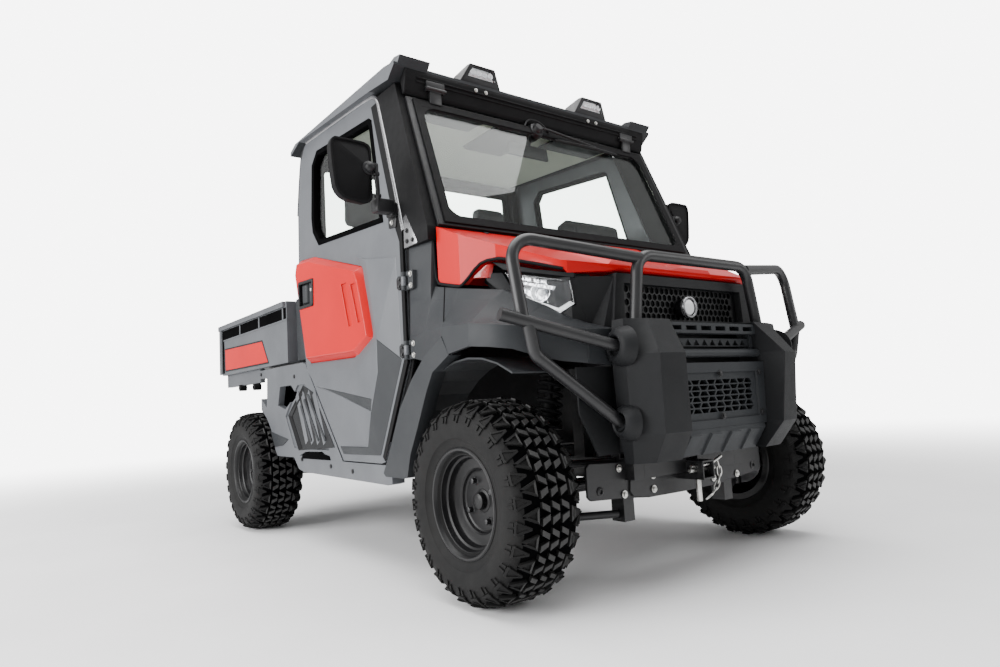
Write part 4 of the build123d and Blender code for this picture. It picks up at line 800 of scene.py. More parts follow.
# ---------- cab doors ----------
door = {"sealOut": 2.5, "hingeHeights": (829, 1083), "leafHalf": 27,
        "window": [(-565, 1352), (-680, 1800), (-700, 1815), (-1240, 1855), (-1290, 1800), (-1275, 1540),
            (-1255, 1470), (-1185, 1397)],
        "recess": [(-1360, 1240), (-1182, 1232), (-1189, 1106), (-1358, 1108)],
        "band": [(-404, 786), (-404, 1270), (-629, 1866), (-676, 1864), (-452, 1290), (-427, 1240),
            (-427, 800), (-626, 436), (-608, 420)],
        # pressed faces round the insert and low on the door: x, z, out
        "crease": [(-1362, 822, 1), (-834, 781, 12), (-610, 891, 18), (-700, 1226, 10), (-812, 1262, 1),
            (-838, 838, 3), (-668, 925, 4), (-736, 1196, 3), (-462, 1190, 1), (-446, 800, 1),
            (-642, 440, 1), (-607, 760, 20), (-682, 606, 18), (-738, 472, 8), (-1258, 744, 5),
            (-672, 662, 18), (-694, 612, 8), (-960, 680, 7), (-1012, 470, 3), (-756, 478, 4),
            (-985, 436, 1), (-1352, 846, 2)],
        "creaseFaces": [(4, 3, 7), (3, 2, 6), (3, 6, 7), (2, 1, 5), (2, 5, 6), (1, 0, 21), (1, 21, 5),
            (0, 1, 14), (1, 15, 14), (1, 2, 11), (1, 11, 15), (11, 12, 15), (15, 12, 16), (12, 13, 19),
            (12, 19, 16), (14, 17, 18), (17, 16, 19), (17, 19, 18), (19, 13, 18), (3, 8, 2), (8, 9, 2)],
        # painted shade: the faces turned to the front and down get the darker grained plastic
        "paintedShadeFaces": [(2, 9, 11), (11, 9, 10), (11, 10, 12), (12, 10, 13), (14, 15, 17), (15, 16, 17),
            (13, 10, 20), (13, 20, 18)]}


def addFacets(name, points, faces, deep):
    # sheet of flat faces that share their corners, with a skirt down into the surface behind
    piece = startEmpty(name, 3)
    for face in faces:
        addFace(piece, [points[corner] for corner in face])
    bpy.ops.mesh.select_all(action="SELECT")
    bpy.ops.mesh.remove_doubles(threshold=1e-5)
    bpy.ops.mesh.select_all(action="SELECT")
    thicken(deep)
    return closePiece(piece)


# the crease in satin grey, and its forward and downward faces in the darker grained plastic as painted shade
for name, faces, finish in (("door_crease", "creaseFaces", "satinGrey"),
        ("door_shade", "paintedShadeFaces", "grainedCharcoal")):
    facets = addFacets(name, [onWall(x, z, out) for x, z, out in door["crease"]], door[faces], (0, -0.016, 0))
    settleBoth(bevelSharp(facets, 0.003, 2, 3), name, finish, 8, body="door_SIDE")

band = addWallPlate("door_band", door["band"], -8, door["sealOut"], 1.2)
upperSeal = addWallPlate("seal", [(-402, 800), (-402, 1262), (-374, 1256), (-376, 812)], -26, -12, 1.0)
lowerSeal = addWallPlate("seal", [(-402, 806), (-376, 812), (-500, 520), (-590, 420), (-604, 424)], -28, -14,
    1.0)
settleBoth(band, "door_band", "rubberBlack", 40, body="door_SIDE")
settleBoth([upperSeal, lowerSeal], "door_gap_seal", "rubberBlack", 40)

# the window's rubber channel and lip in the near-black painted-shade finish
windowOutline = wallLine(2.5, door["window"])
windowSeal = addRing("window_seal", windowOutline, 0.017, (0, -0.036, 0), 0.002)
lipSteps = ((10, -6), (8, 8), (4, 9), (-4, 9), (-9, 6), (-9, 0), (-8, -4), (-4, -8))
lipOutline = [onWall(x + dx, z + dz, 3.4) for (x, z), (dx, dz) in zip(door["window"], lipSteps)]
outerLip = addRing("window_lip", lipOutline, 0.013, (0, -0.006, 0), 0.0015)
settleBoth([windowSeal, outerLip], "window_seal", "paintedShadeBlack", 30, body="door_SIDE")

bezelOutline = wallLine(23, door["recess"])
bezel = addRing("handle_bezel", bezelOutline, 0.014, (0, 0.012, 0), 0.003, rounding=0.016)
hollow = addRing("handle_hollow", wallLine(3, door["recess"]), 0.011, (0, 0.022, 0), 0.0, rounding=0.012)
floorPlate = addWallPlate("handle_floor", [(-1356, 1236), (-1185, 1229), (-1191, 1109), (-1355, 1111)], 3, 17)
settleBoth([bezel, hollow, floorPlate], "handle_bezel", "trimBlack", 40, body="door_SIDE")
paddle = addLoft("handle_paddle", wallLine(16, ((-1326, 1222), (-1262, 1220), (-1264, 1126), (-1324, 1128))),
    wallLine(30, ((-1316, 1216), (-1272, 1214), (-1273, 1132), (-1315, 1134))), 0.005, 3)
cheek = addLoft("handle_cheek", wallLine(16, ((-1250, 1225), (-1196, 1222), (-1201, 1118), (-1251, 1120))),
    wallLine(24, ((-1246, 1221), (-1200, 1218), (-1204, 1122), (-1247, 1124))), 0.003, 2)
settleBoth([paddle, cheek], "handle_paddle", "grainedCharcoal", 35, body="door_SIDE")
lock = addSpun("door_lock", [(0.0, 0.006), (0.0055, 0.006), (0.0075, 0.0045), (0.0085, 0.002),
    (0.0085, -0.004), (0.0, -0.004)], centre=onWall(-1222, 1185, 24), axis=(0, 1, 0), steps=20)
settleBoth(lock, "door_lock", "zincSteel", body="door_SIDE")

leaves, doorBolts, bodyBolts = [], [], []
for height in door["hingeHeights"]:
    low, high = height - door["leafHalf"], height + door["leafHalf"]
    leaves.append(addWallPlate("leaf", [(-452, low + 8), (-452, high - 8), (-436, high), (-404, high - 14),
        (-404, low + 14), (-436, low)], 1.5, 7.0, 1.2))
    doorBolts += [onWall(-430, height - 13, 7), onWall(-430, height + 13, 7)]
    bodyBolts += [onWall(-349, height - 21, 6), onWall(-349, height + 21, 6)]
settleBoth(leaves, "door_leaf", "trimBlack", 40, body="door_SIDE")
settleBoth(addBolts("door_bolts", doorBolts, (0, 1, 0), 6.5, 4.5), "door_bolts", "frameBlack",
    body="door_SIDE")
settleBoth(addBolts("hinge_bolts", bodyBolts, (0, 1, 0), 7.5, 5.5), "hinge_bolts", "zincSteel")

# light-grey tube along the door frame's front and top edges: the seal there, its light grey a painted
# highlight
sealHighlightPath = [onWall(-399, 1276, -3), onWall(-480, 1492, -3), onWall(-560, 1706, -3), onWall(-611, 1842, -3),
    onWall(-622, 1872, -3), onWall(-645, 1896, -2), onWall(-690, 1914, -2), onWall(-900, 1928, -2),
    onWall(-1150, 1941, -2), onWall(-1380, 1952, -2)]
settleBoth(addTube("door_trim_line", sealHighlightPath, 0.0095), "door_trim_line", "badgeGrey", 60)
roofSeal = addTube("roof_seal", wallLine(-4, ((-1385, 1952), (-1432, 1925), (-1466, 1872), (-1474, 1600))),
    0.005)
settleBoth(roofSeal, "roof_seal", "trimBlack", 60)
footPlate = addWallPlate("pillar_foot", [(-392, 1326), (-376, 1330), (-300, 1222), (-296, 1208),
    (-390, 1206)], -1, 3.5, 1.0)
settleBoth(footPlate, "pillar_foot", "badgeGrey", 40)
settleBoth(addBolts("pillar_bolts", wallLine(3.5, ((-366, 1228), (-366, 1268), (-326, 1226))), (0, 1, 0),
    6.5), "pillar_bolts", "frameBlack")
print("doors dressed")


# ---------- mirrors ----------
mirror = {"centre": (-424, 930, 1486), "ball": (-397, 872, 1497),
          # outline of the head, out from its middle and up
          "outline": [(-70, 108), (-78, 98), (-80, 80), (-80, -84), (-76, -100), (-64, -112), (-44, -118),
              (20, -112), (42, -102), (58, -86), (68, -64), (76, 0), (80, 60), (80, 92), (74, 108),
              (62, 117), (-20, 117), (-52, 115)]}


def headRing(back, share):
    cx, cy, cz = mirror["centre"]
    return [at(cx + back, cy + y * share, cz + z * share) for y, z in mirror["outline"]]


def makeMirror():
    shell = addLoft("shell", headRing(-38, 0.97), headRing(-4, 1.0))
    ballX, ballY, ballZ = mirror["ball"]
    cx, cy, cz = mirror["centre"]
    peak = [at(ballX - 6, ballY + (y - ballY + cy) * 0.10, ballZ + (z - ballZ + cz) * 0.10)
        for y, z in mirror["outline"]]
    face = addLoft("face", headRing(-5, 0.90), peak)
    lip = addRing("lip", headRing(-5, 1.0), 0.009, (0.006, 0, 0), 0.002)
    bevelSharp(shell, 0.004, 3, 40)
    head = joinPieces([shell, face, lip], "mirror_head")
    ball = addSpun("ball", [(0.0, 0.021), (0.009, 0.020), (0.016, 0.015), (0.0205, 0.008), (0.0215, -0.002),
        (0.025, -0.004), (0.025, -0.010), (0.0, -0.010)], centre=at(ballX, ballY, ballZ), axis=(1, 0, 0),
        steps=28)
    clamp = addBlock("clamp", at(ballX - 10, ballY - 34, ballZ - 26), at(ballX + 4, ballY - 16, ballZ + 20),
        0.004)
    arm = addTube("arm", freeLine((ballX - 4, ballY - 26, ballZ + 14), (ballX - 4, ballY - 27, ballZ - 30),
        (ballX - 12, ballY - 34, ballZ - 70), (ballX - 30, ballY - 44, ballZ - 104),
        (ballX - 34, ballY - 46, ballZ - 132)), 0.0085, resolution=4)
    collarPlaces = ((at(ballX - 4, ballY - 26, ballZ - 20), (0, 0, 1)),
        (at(ballX - 25, ballY - 41, ballZ - 94), (0.45, 0.25, 1)))
    collarProfile = [(0.0085, 0.007), (0.0125, 0.006), (0.0135, 0.0), (0.0125, -0.006), (0.0085, -0.007)]
    collars = [addSpun("collar", collarProfile, centre=spot, axis=way, steps=20)
        for spot, way in collarPlaces]
    boxPart = addBlock("box", at(-474, 762, 1348), at(-420, 836, 1398), 0.007, 3)
    neck = addBlock("neck", at(-480, 744, 1340), at(-432, 770, 1392), 0.005)
    hook = addWallPlate("foot", [(-512, 1392), (-500, 1306), (-446, 1300), (-440, 1330), (-452, 1392)], 0.5,
        6.5, 1.5)
    return head, joinPieces([ball, clamp, arm, boxPart, neck, hook] + collars, "mirror_arm")


mirrorHead, mirrorArm = makeMirror()
settleBoth(mirrorHead, "mirror_head", "rubberBlack", 9, body="door_SIDE", replaced=["mirror_SIDE"])
settleBoth(mirrorArm, "mirror_arm", "trimBlack", 35, body="door_SIDE")
mirrorPane = addPrism("mirror_glass", headRing(-38.5, 0.88), (-0.003, 0, 0), 0.0008, 1)
settleBoth(mirrorPane, "mirror_glass", "mirrorGlass", 20, body="door_SIDE")
settleBoth(addBolts("mirror_bolts", [onWall(-492, 1362, 6.5), onWall(-476, 1324, 6.5)], (0, 1, 0), 7, 5),
    "mirror_bolts", "zincSteel", body="door_SIDE")
print("mirrors made")


# ---------- head lamps ----------
lamp = {"corner": (225, 504, 998), "along": (-0.86667, 0.49886), "out": (0.49886, 0.86667),
    "outline": [(226, 52), (0, 0), (-10, -78), (44, -106), (172, -46)]}


def lampSpot(u, v, d=0.0):
    # u across the lens from its inner corner, v up, d out of the lens
    x, y, z = lamp["corner"]
    return at(x + lamp["along"][0] * u + lamp["out"][0] * d, y + lamp["along"][1] * u + lamp["out"][1] * d,
        z + v)


def lampLine(d, spots):
    return [lampSpot(u, v, d) for u, v in spots]


def lampInset(share, d):
    midU = sum(u for u, v in lamp["outline"]) / 5
    midV = sum(v for u, v in lamp["outline"]) / 5
    return [lampSpot(midU + (u - midU) * share, midV + (v - midV) * share, d) for u, v in lamp["outline"]]


outWay = Vector((lamp["out"][0], lamp["out"][1], 0))
lens = addLoft("headlight_lens", lampInset(1.0, -5), lampInset(0.965, 2.5), 0.003, 2)
settleBoth(lens, "headlight_lens", "lensGlass", 30, replaced=["headlights"])
shellRing = addRing("shell", lampInset(1.0, -62), 0.007, outWay * 0.056, 0.0015)
backPlate = addPrism("back", lampInset(0.97, -60), outWay * -0.006)
settleBoth([shellRing, backPlate], "headlight_bowl", "trimBlack", 30)


def lampFacet(name, spots, deep, near, bevel=0.0015):
    return addPrism(name, lampLine(-deep, spots), outWay * ((deep - near) / 1000), bevel, 1)


mirrors = [lampFacet("mirrors", ((60 + 26 * n, -8 + 6.6 * n), (82 + 26 * n, -2 + 6.6 * n),
    (80 + 26 * n, 18 + 6.2 * n), (60 + 26 * n, 8 + 6.2 * n)), 50, 20 + 4 * (n % 3)) for n in range(5)]
mirrors += [lampFacet("shelf", ((52, -14), (196, 22), (190, 12), (60, -26)), 50, 12),
    lampFacet("inner", ((2, -68), (46, -92), (70, -80), (60, -30), (10, -14)), 54, 30, 0.006),
    lampFacet("outer", ((76, -74), (160, -36), (200, 8), (90, -28)), 54, 34, 0.006)]
bowlRings = [addSpun("bowl", [(0.0, -0.030), (0.014, -0.028), (0.024, -0.018), (0.030, -0.004), (0.0315, 0.0),
    (0.034, 0.0), (0.034, -0.006), (0.027, -0.022), (0.0, -0.036)], centre=lampSpot(u, v, -16), axis=outWay,
    steps=28) for u, v in ((34, -52), (108, -26))]
settleBoth(mirrors + bowlRings, "headlight_mirrors", "reflector", 20)
guide = addPrism("guide", lampLine(-14, ((-6, -76), (44, -101), (176, -41), (172, -30), (46, -86), (6, -67))),
    outWay * 0.009, 0.0015, 2)
bulbs = [addSpun("bulb", [(0.0, 0.010), (0.006, 0.009), (0.0105, 0.005), (0.012, -0.002), (0.012, -0.012),
    (0.0, -0.012)], centre=lampSpot(u, v, -24), axis=outWay, steps=20) for u, v in ((34, -52), (108, -26))]
settleBoth([guide] + bulbs, "headlight_guide", "lampWhite", 30)
marker = addLoft("marker_lamp", freeLine((-72, 668, 1040), (-14, 634, 1036), (-2, 630, 1084),
    (-18, 642, 1088)), freeLine((-66, 682, 1042), (-16, 650, 1038), (-8, 644, 1082), (-18, 652, 1084)), 0.003,
    2)
settleBoth(marker, "marker_lamp", "lampRed", 30)
print("head lamps made")


# ---------- roof front, lamps, wiper ----------
roof = {"half": 690, "profile": [(-429, 1944), (-424, 1926), (-427, 1898), (-438, 1850), (-446, 1838),
    (-456, 1838), (-466, 1890), (-470, 1944)]}
fascia = addPrism("roof_fascia", sideLine(-roof["half"], roof["profile"]), (0, roof["half"] / 500, 0), 0.004,
    3)
ledges = [addTube("ledge", [at(x, -640, z), at(x, 640, z)], 0.004, smoothLine=False)
    for x, z in ((-424, 1908), (-428, 1893))]
settle(joinPieces([fascia] + ledges, "roof_fascia"), "rubberBlack", 30)

for side, sign in sides.items():
    # the lamp on one side, without the other
    shell = openPiece(roundCopy("roof_lamps", 0.003, 2))
    shape = bmesh.from_edit_mesh(shell.data)
    bmesh.ops.delete(shape, geom=[v for v in shape.verts if v.co.y * sign < 0], context="VERTS")
    bmesh.update_edit_mesh(shell.data)
    closePiece(shell)
    shell.name = shell.data.name = "roof_lamp_shell_" + side
    settle(shell, "trimBlack", 30, replaced=["roof_lamps"])
cells = []
for n in range(4):
    inner = 262 + n * 29
    cells.append(addSpun("cell", [(0.0, 0.002), (0.004, 0.003), (0.009, 0.008), (0.0125, 0.014),
        (0.0142, 0.014), (0.0142, -0.004), (0.0, -0.004)], centre=at(-430, inner + 18, 1995), axis=(1, 0, 0),
        steps=20))
plate = addLoft("plate", frontLine(-432, ((254, 1976), (278, 2020), (364, 2020), (390, 1976))),
    frontLine(-426, ((258, 1979), (281, 2017), (361, 2017), (386, 1979))))
settleBoth(cells + [plate], "roof_lamp_cells", "lampWhite", 30)
cover = addPrism("roof_lamp_cover", frontLine(-416, ((251, 1975), (276, 2021), (366, 2021), (393, 1975))),
    (0.003, 0, 0), 0.001, 1)
settleBoth(cover, "roof_lamp_cover", "lensGlass", 30)
studs = addBolts("roof_bolts", [at(-425, y, 1921) for y in (300, 352)] + [at(-428, y, 1880)
    for y in (520, 590)], (1, 0, 0.1), 6)
settleBoth(studs, "roof_bolts", "zincSteel")
hingeParts = [addBlock("plate", at(-436, 512, 1862), at(-418, 598, 1904), 0.003),
    addRod("pin", at(-418, 508, 1872), at(-418, 602, 1872), 0.007, 18, 0.0015),
    addBlock("leaf", at(-436, 528, 1812), at(-420, 582, 1868), 0.004)]
settleBoth(hingeParts, "screen_hinge", "frameBlack", 35)

screen = {"foot": (-226, 1256), "head": (-452, 1824), "out": 16.0}


def onScreen(y, share, out=0.0):
    # point in front of the windscreen: y, share of its height, mm out of the glass
    (x0, z0), (x1, z1) = screen["foot"], screen["head"]
    length = hypot(x1 - x0, z1 - z0)
    away = (screen["out"] + out) / length
    return at(x0 + (x1 - x0) * share + (z1 - z0) * away, y, z0 + (z1 - z0) * share - (x1 - x0) * away)


screenWay = (onScreen(0, 0.5, 10) - onScreen(0, 0.5)).normalized()
motor = addSpun("motor", [(0.0, 0.030), (0.016, 0.030), (0.020, 0.026), (0.024, 0.012), (0.034, 0.010),
    (0.036, 0.004), (0.036, -0.012), (0.0, -0.012)], centre=onScreen(-30, 0.965), axis=screenWay, steps=28)
wiperArm = addTube("arm", [onScreen(-30, 0.965, 24), onScreen(40, 0.962, 22), onScreen(180, 0.945, 16),
    onScreen(330, 0.925, 8)], 0.0055, smoothLine=False)
blade = addPrism("blade", [onScreen(70, 0.905, -2), onScreen(470, 0.905, -2), onScreen(470, 0.92, -2),
    onScreen(70, 0.92, -2)], screenWay * 0.009, 0.0015, 1)
spine = addTube("spine", [onScreen(80, 0.914, 6), onScreen(270, 0.918, 14), onScreen(460, 0.914, 6)], 0.004)
hose = addTube("hose", [onScreen(-95, 0.975, 6), onScreen(-80, 1.03, 10), onScreen(-30, 1.06, 12),
    onScreen(25, 1.02, 10), onScreen(40, 0.96, 8)], 0.004)
settle(joinPieces([motor, wiperArm, blade, spine, hose], "wiper"), "trimBlack", 35)

# rubber round the screen, with rounded inner corners
rubberFace = [onScreen(-678, 0.018, -2), onScreen(678, 0.018, -2), onScreen(658, 0.982, -2),
    onScreen(-658, 0.982, -2)]
rubber = addRing("screen_rubber", rubberFace, 0.034, screenWay * 0.007, 0.002)
corners = []
for y, share, acrossStep, upStep in ((-650, 0.066, 1, 1), (650, 0.066, -1, 1), (628, 0.93, -1, -1),
        (-628, 0.93, 1, -1)):
    spots = [onScreen(y, share, -1)]
    for n in range(7):
        turn = pi / 2 * n / 6
        spots.append(onScreen(y + acrossStep * 70 * (1 - sin(turn)), share + upStep * 0.115 * (1 - cos(turn)),
            -1))
    corners.append(addPrism("corner", spots, screenWay * 0.005))
settle(joinPieces([rubber] + corners, "screen_rubber"), "rubberBlack", 30)
print("roof front dressed")


# ---------- front end ----------
bay = addPrism("lamp_bay", lampLine(-68, ((-46, -118), (-46, 22), (120, 52), (250, 92), (300, 92), (330, 40),
    (300, 10), (226, 30), (60, -118))), outWay * -0.005, 0.0015, 1)
brow = addPrism("brow", lampLine(1, ((-12, 6), (226, 60), (268, 92), (232, 84), (120, 50), (-14, 20))),
    outWay * -0.022, 0.002, 2)
bayFoot = addPrism("foot", lampLine(-2, ((232, 52), (176, -48), (60, -108), (64, -124), (190, -66), (290, 30),
    (298, 58))), outWay * -0.018, 0.003, 2)
settleBoth([bay, brow, bayFoot], "lamp_bay", "guardBlack", 35)
cowl = addBlock("cowl_strip", at(-262, -698, 1206), at(-224, 698, 1262), 0.006, 2)
settle(cowl, "rubberBlack", 35)
sealSpots = [(-240, 715, 1229), (-236, 715, 1120), (-230, 715, 1070), (-216, 715, 1048), (-190, 715, 1040),
    (-130, 712, 1026), (-100, 710, 1018), (-88, 705, 1022), (-70, 694, 1040), (-48, 680, 1068),
    (-30, 668, 1086), (-8, 655, 1094), (30, 636, 1095), (80, 606, 1082), (120, 580, 1068), (210, 518, 1036)]
sealLine = addTube("hood_seal", [at(*spot) for spot in sealSpots], 0.0055, 3, False, False)
settleBoth(sealLine, "hood_seal", "rubberBlack", 60)

# boss on the guard round each tube's root: middle, radius
collarPlaces = (((348, 440, 773), 0.060), ((345, 436, 540), 0.052))
collars = []
for (x, y, z), radius in collarPlaces:
    profile = [(0.026, -0.030), (0.026, -0.004), (0.030, 0.013), (0.036, 0.017), (radius - 0.014, 0.015),
        (radius - 0.004, 0.006), (radius + 0.002, -0.010), (radius + 0.006, -0.030)]
    collars.append(addSpun("collar", profile, centre=at(x, y, z), axis=(-0.22, 1, 0.05), steps=36))
settleBoth(collars, "guard_collars", "guardBlack", 40)
screws = frontLine(397, ((0, 677), (0, 535), (228, 677), (-228, 677), (228, 535), (-228, 535)))
settle(addBolts("grille_screws", screws, (1, 0, 0), 8, 4), "frameBlack")
# near-black sheet behind the grille's holes: painted shade
grilleShade = addBlock("grille_shade_sheet", at(352, -256, 512), at(362, 256, 706), 0.003)
settle(grilleShade, "paintedShadeBlack", 35)
ring = addSpun("ring", [(0.030, 0.0), (0.030, 0.006), (0.032, 0.008), (0.037, 0.008), (0.039, 0.005),
    (0.039, -0.006), (0.030, -0.006)], centre=at(291, 0, 918), axis=(1, 0, 0), steps=48)
face = addSpun("face", [(0.0, 0.004), (0.018, 0.004), (0.026, 0.003), (0.0275, 0.001), (0.0275, -0.004),
    (0.0, -0.004)], centre=at(291, 0, 918), axis=(1, 0, 0), steps=48)
settle(ring, "badgeGrey", 35).name = "badge_ring"
settle(face, "lampWhite", 35).name = "badge_face"

# receiver's pin, its bent handle, the keeper and the chain
pin = addRod("pin", at(288, -22, 246), at(288, -22, 352), 0.0095, 20, 0.002)
handle = addTube("handle", freeLine((288, -58, 366), (290, -22, 366), (296, 20, 366), (306, 52, 376),
    (312, 82, 392)), 0.0055)
crossPin = addRod("cross", at(285, -62, 352), at(285, 74, 352), 0.0078, 20, 0.0015)
links = []
chainLine = freeLine((306, 66, 380), (306, 74, 352), (305, 76, 326), (302, 68, 302), (299, 54, 280),
    (296, 36, 262), (292, 14, 252))
for n, (start, end) in enumerate(zip(chainLine, chainLine[1:])):
    middle, way = (start + end) / 2, (end - start).normalized()
    across = way.orthogonal().normalized() if n % 2 else way.cross(way.orthogonal()).normalized()
    links.append(addTube("link", [middle + way * a + across * b for a, b in ((0.019, 0.0), (0.014, 0.0075),
        (-0.014, 0.0075), (-0.019, 0.0), (-0.014, -0.0075), (0.014, -0.0075))], 0.0025, 2, True))
settle(joinPieces([pin, handle, crossPin] + links, "receiver_pin"), "zincSteel", 50)


# beam across the front under the guards, with a raised plate and bolts each side
beam = {"outline": [(0, 384), (150, 384), (300, 404), (462, 414), (476, 400), (476, 308), (462, 296),
    (300, 286), (190, 274), (0, 272)], "plate": [(186, 370), (280, 378), (288, 306), (274, 288), (196, 280)],
    "bolts": [(330, 386), (312, 300), (166, 346), (166, 300)], "hole": (421, 322)}
halfBeam = frontLine(200, beam["outline"])
otherBeam = [at(200, -y, z) for y, z in beam["outline"][-2:0:-1]]
beamPieces = [addPrism("beam", halfBeam + otherBeam, (0.010, 0, 0), 0.003, 2)]
for side in (-1, 1):
    beamPieces.append(addPrism("plate", [at(210, side * y, z) for y, z in beam["plate"]], (0.007, 0, 0),
        0.002, 1))
    y, z = beam["hole"]
    beamPieces.append(addSpun("eyelet", [(0.007, -0.002), (0.007, 0.004), (0.009, 0.005), (0.014, 0.003),
        (0.015, -0.002)], centre=at(210, side * y, z), axis=(1, 0, 0), steps=24))
settle(joinPieces(beamPieces, "front_beam"), "frameBlack", 40)
beamBolts = [at(213, side * y, z) for y, z in beam["bolts"] for side in (-1, 1)]
settle(addBolts("front_beam_bolts", beamBolts, (1, 0, 0), 9, 6), "zincSteel")


# ---------- springs, boots and hubs ----------
def addBellows(name, start, end, inner, outer, folds):
    start, end = Vector(start), Vector(end)
    length = (end - start).length
    profile = [(inner * 0.7, 0.0), (inner, 0.0)]
    for n in range(folds):
        base = length * (n + 0.15) / folds
        step = length * 0.7 / folds
        share = 1 - 0.35 * n / folds
        crest = inner + (outer - inner) * share
        profile += [(inner + 0.001, base), (crest, base + step * 0.4), (crest, base + step * 0.6),
            (inner + 0.001, base + step)]
    profile += [(inner, length), (inner * 0.7, length)]
    return addSpun(name, profile, centre=start, axis=end - start, steps=28)


def shockSpring(foot, top, low, high, turns):
    foot, top = at(*foot), at(*top)
    start, end = foot.lerp(top, low), foot.lerp(top, high)
    way = (end - start).normalized()
    seats = [addSpun("seat", [(0.012, -0.004), (0.030, -0.004), (0.050, -0.002), (0.053, 0.003),
        (0.050, 0.007), (0.026, 0.006), (0.012, 0.006)], centre=spot, axis=way, steps=32)
        for spot in (start - way * 0.008, end + way * 0.004)]
    return joinPieces([addCoil("coil", start, end, 0.041, 0.0068, turns)] + seats, "spring")


settleBoth(shockSpring((0, 462, 417), (0, 400, 742), 0.36, 0.93, 7), "front_spring", "rubberBlack", 50)
settleBoth(shockSpring((-2210, 500, 348), (-2210, 420, 700), 0.30, 0.93, 7), "rear_spring", "rubberBlack", 50)
boots = [addBellows("boot", at(0, 176, 330), at(0, 262, 327), 0.022, 0.043, 5),
    addBellows("boot", at(0, 560, 318), at(0, 486, 320), 0.022, 0.045, 5)]
settleBoth(boots, "drive_boots", "rubberBlack", 50)
print("front end dressed")


# ---------- quarter panel ----------
quarter = {"vent": [(-1410, 752), (-1615, 612), (-1488, 441), (-1071, 463), (-1293, 714)],
    "louvres": [((-1340, 706), (-1160, 496)), ((-1386, 684), (-1236, 494)), ((-1430, 656), (-1320, 492))],
    "scoop": [(-1876, 531), (-1624, 493), (-1700, 462), (-1818, 451)]}
ventPlate = addWallPlate("vent_plate", quarter["vent"], 0.3, 2.6, 0.8)
settleBoth(ventPlate, "vent_plate", "guardBlack", 40)
shadow = addFacets("vent_shadow", [onWall(x, z, out) for x, z, out in ((-1410, 752, 3), (-1615, 612, 3),
    (-1488, 441, 3), (-1440, 452, 4), (-1560, 605, 5), (-1398, 722, 4))], [(0, 1, 4, 5), (1, 2, 3, 4)],
    (0, -0.004, 0))
settleBoth(shadow, "vent_shadow", "rubberBlack", 20)
ribs = []
for (x0, z0), (x1, z1) in quarter["louvres"]:
    ribs.append(addWallPlate("rib", [(x0 + 4, z0), (x0 - 8, z0 + 4), (x0 - 16, z0 - 6), (x1 - 14, z1 - 2),
        (x1 - 4, z1 - 8), (x1 + 6, z1)], 2.4, 8.0, 2.2))
# near-black plate in the step slot: painted shade
slot = addWallPlate("step_slot_shade", [(-1372, 438), (-1190, 432), (-1130, 424), (-1119, 406), (-1454, 404),
    (-1440, 424)], 0.3, 3.0, 1.0)
settleBoth(slot, "step_slot_shade", "paintedShadeBlack", 40)
ribs.append(addWallPlate("scoop", quarter["scoop"], 0.3, 3.0, 1.0))
settleBoth(ribs, "vent_ribs", "grainedCharcoal", 40)
settleBoth(addBolts("panel_screws", [onWall(-1525, 801, 1), onWall(-901, 368, 1), onWall(-1450, 400, 3),
    onWall(-1120, 380, 1), onWall(-2010, 840, 1)], (0, 1, 0), 7, 3), "panel_screws", "frameBlack")

# near-black sheet just inside the rear quarter: painted shade
shadeSheet = addBlock("inner_shade_sheet", at(-2120, 655, 655), at(-1545, 662, 862), 0.002)
settleBoth(shadeSheet, "inner_shade_sheet", "paintedShadeBlack", 35)
seam = addTube("fender_seam", freeLine((-88, 776, 1010), (-98, 777, 938), (-108, 776, 870), (-116, 776, 832)),
    0.0022)
settleBoth(seam, "fender_seam", "rubberBlack", 60)

# ---------- cargo bed ----------
# near-black strips along the top of the bed side and down its rear end: painted shade in the recess
strip = [addPrism("strip", sideLine(744, ((-2700, 1158), (-1614, 1158), (-1614, 1096), (-2700, 1096))),
    (0, 0.002, 0), 0.0006, 1), addPrism("strip", sideLine(744, ((-2748, 1158), (-2700, 1158), (-2690, 1040),
    (-2690, 890), (-2748, 890))), (0, 0.002, 0), 0.0006, 1)]
settleBoth(strip, "bed_recess_shade", "paintedShadeBlack", 30, body="bed")
dividers = [addBlock("divider", at(x - 8, 743, 1094), at(x + 8, 749, 1160), 0.002)
    for x in (-2365, -2025, -1656)]
dividers.append(addPrism("shelf", sideLine(744, ((-2700, 1092), (-1600, 1092), (-1600, 1100), (-2700, 1100))),
    (0, 0.005, 0), 0.0015, 1))
settleBoth(dividers, "bed_dividers", "satinGrey", 30, body="bed")
plate = addPrism("bed_badge", sideLine(743.5, ((-2669, 1035), (-1986, 1020), (-1893, 901), (-2662, 907))),
    (0, 0.0045, 0), 0.0018, 2)
settleBoth(plate, "bed_badge", "glossRed", 30, body="bed")
frameBed = addRing("bed_badge_rim", sideLine(744.5, ((-2677, 1043), (-1982, 1028), (-1882, 893),
    (-2670, 899))), 0.007, (0, 0.003, 0), 0.001)
settleBoth(frameBed, "bed_badge_rim", "guardBlack", 30, body="bed")
rollers = [addRod("roller", at(x, 700, z), at(x, 742, z), 0.019, 24, 0.003)
    for x, z in ((-2416, 786), (-2159, 780))]
rollers += [addBlock("hanger", at(x - 20, 704, z), at(x + 20, 722, 872), 0.004)
    for x, z in ((-2416, 786), (-2159, 780))]
settleBoth(rollers, "bed_bumpers", "rubberBlack", 40, body="bed")
lampFace = addPrism("tail_lamp_face", frontLine(-2778.5, ((704, 964), (740, 964), (740, 1076), (704, 1076))),
    (-0.004, 0, 0), 0.0015, 2)
settleBoth(lampFace, "tail_lamp_face", "lampRed", 30, body="bed")
print("sides dressed")


# ---------- padded seats ----------
seat = {"places": (400, 0, -400), "voxel": 0.010, "pressure": 4.0, "frames": 20, "half": 172, "lean": 7.0}


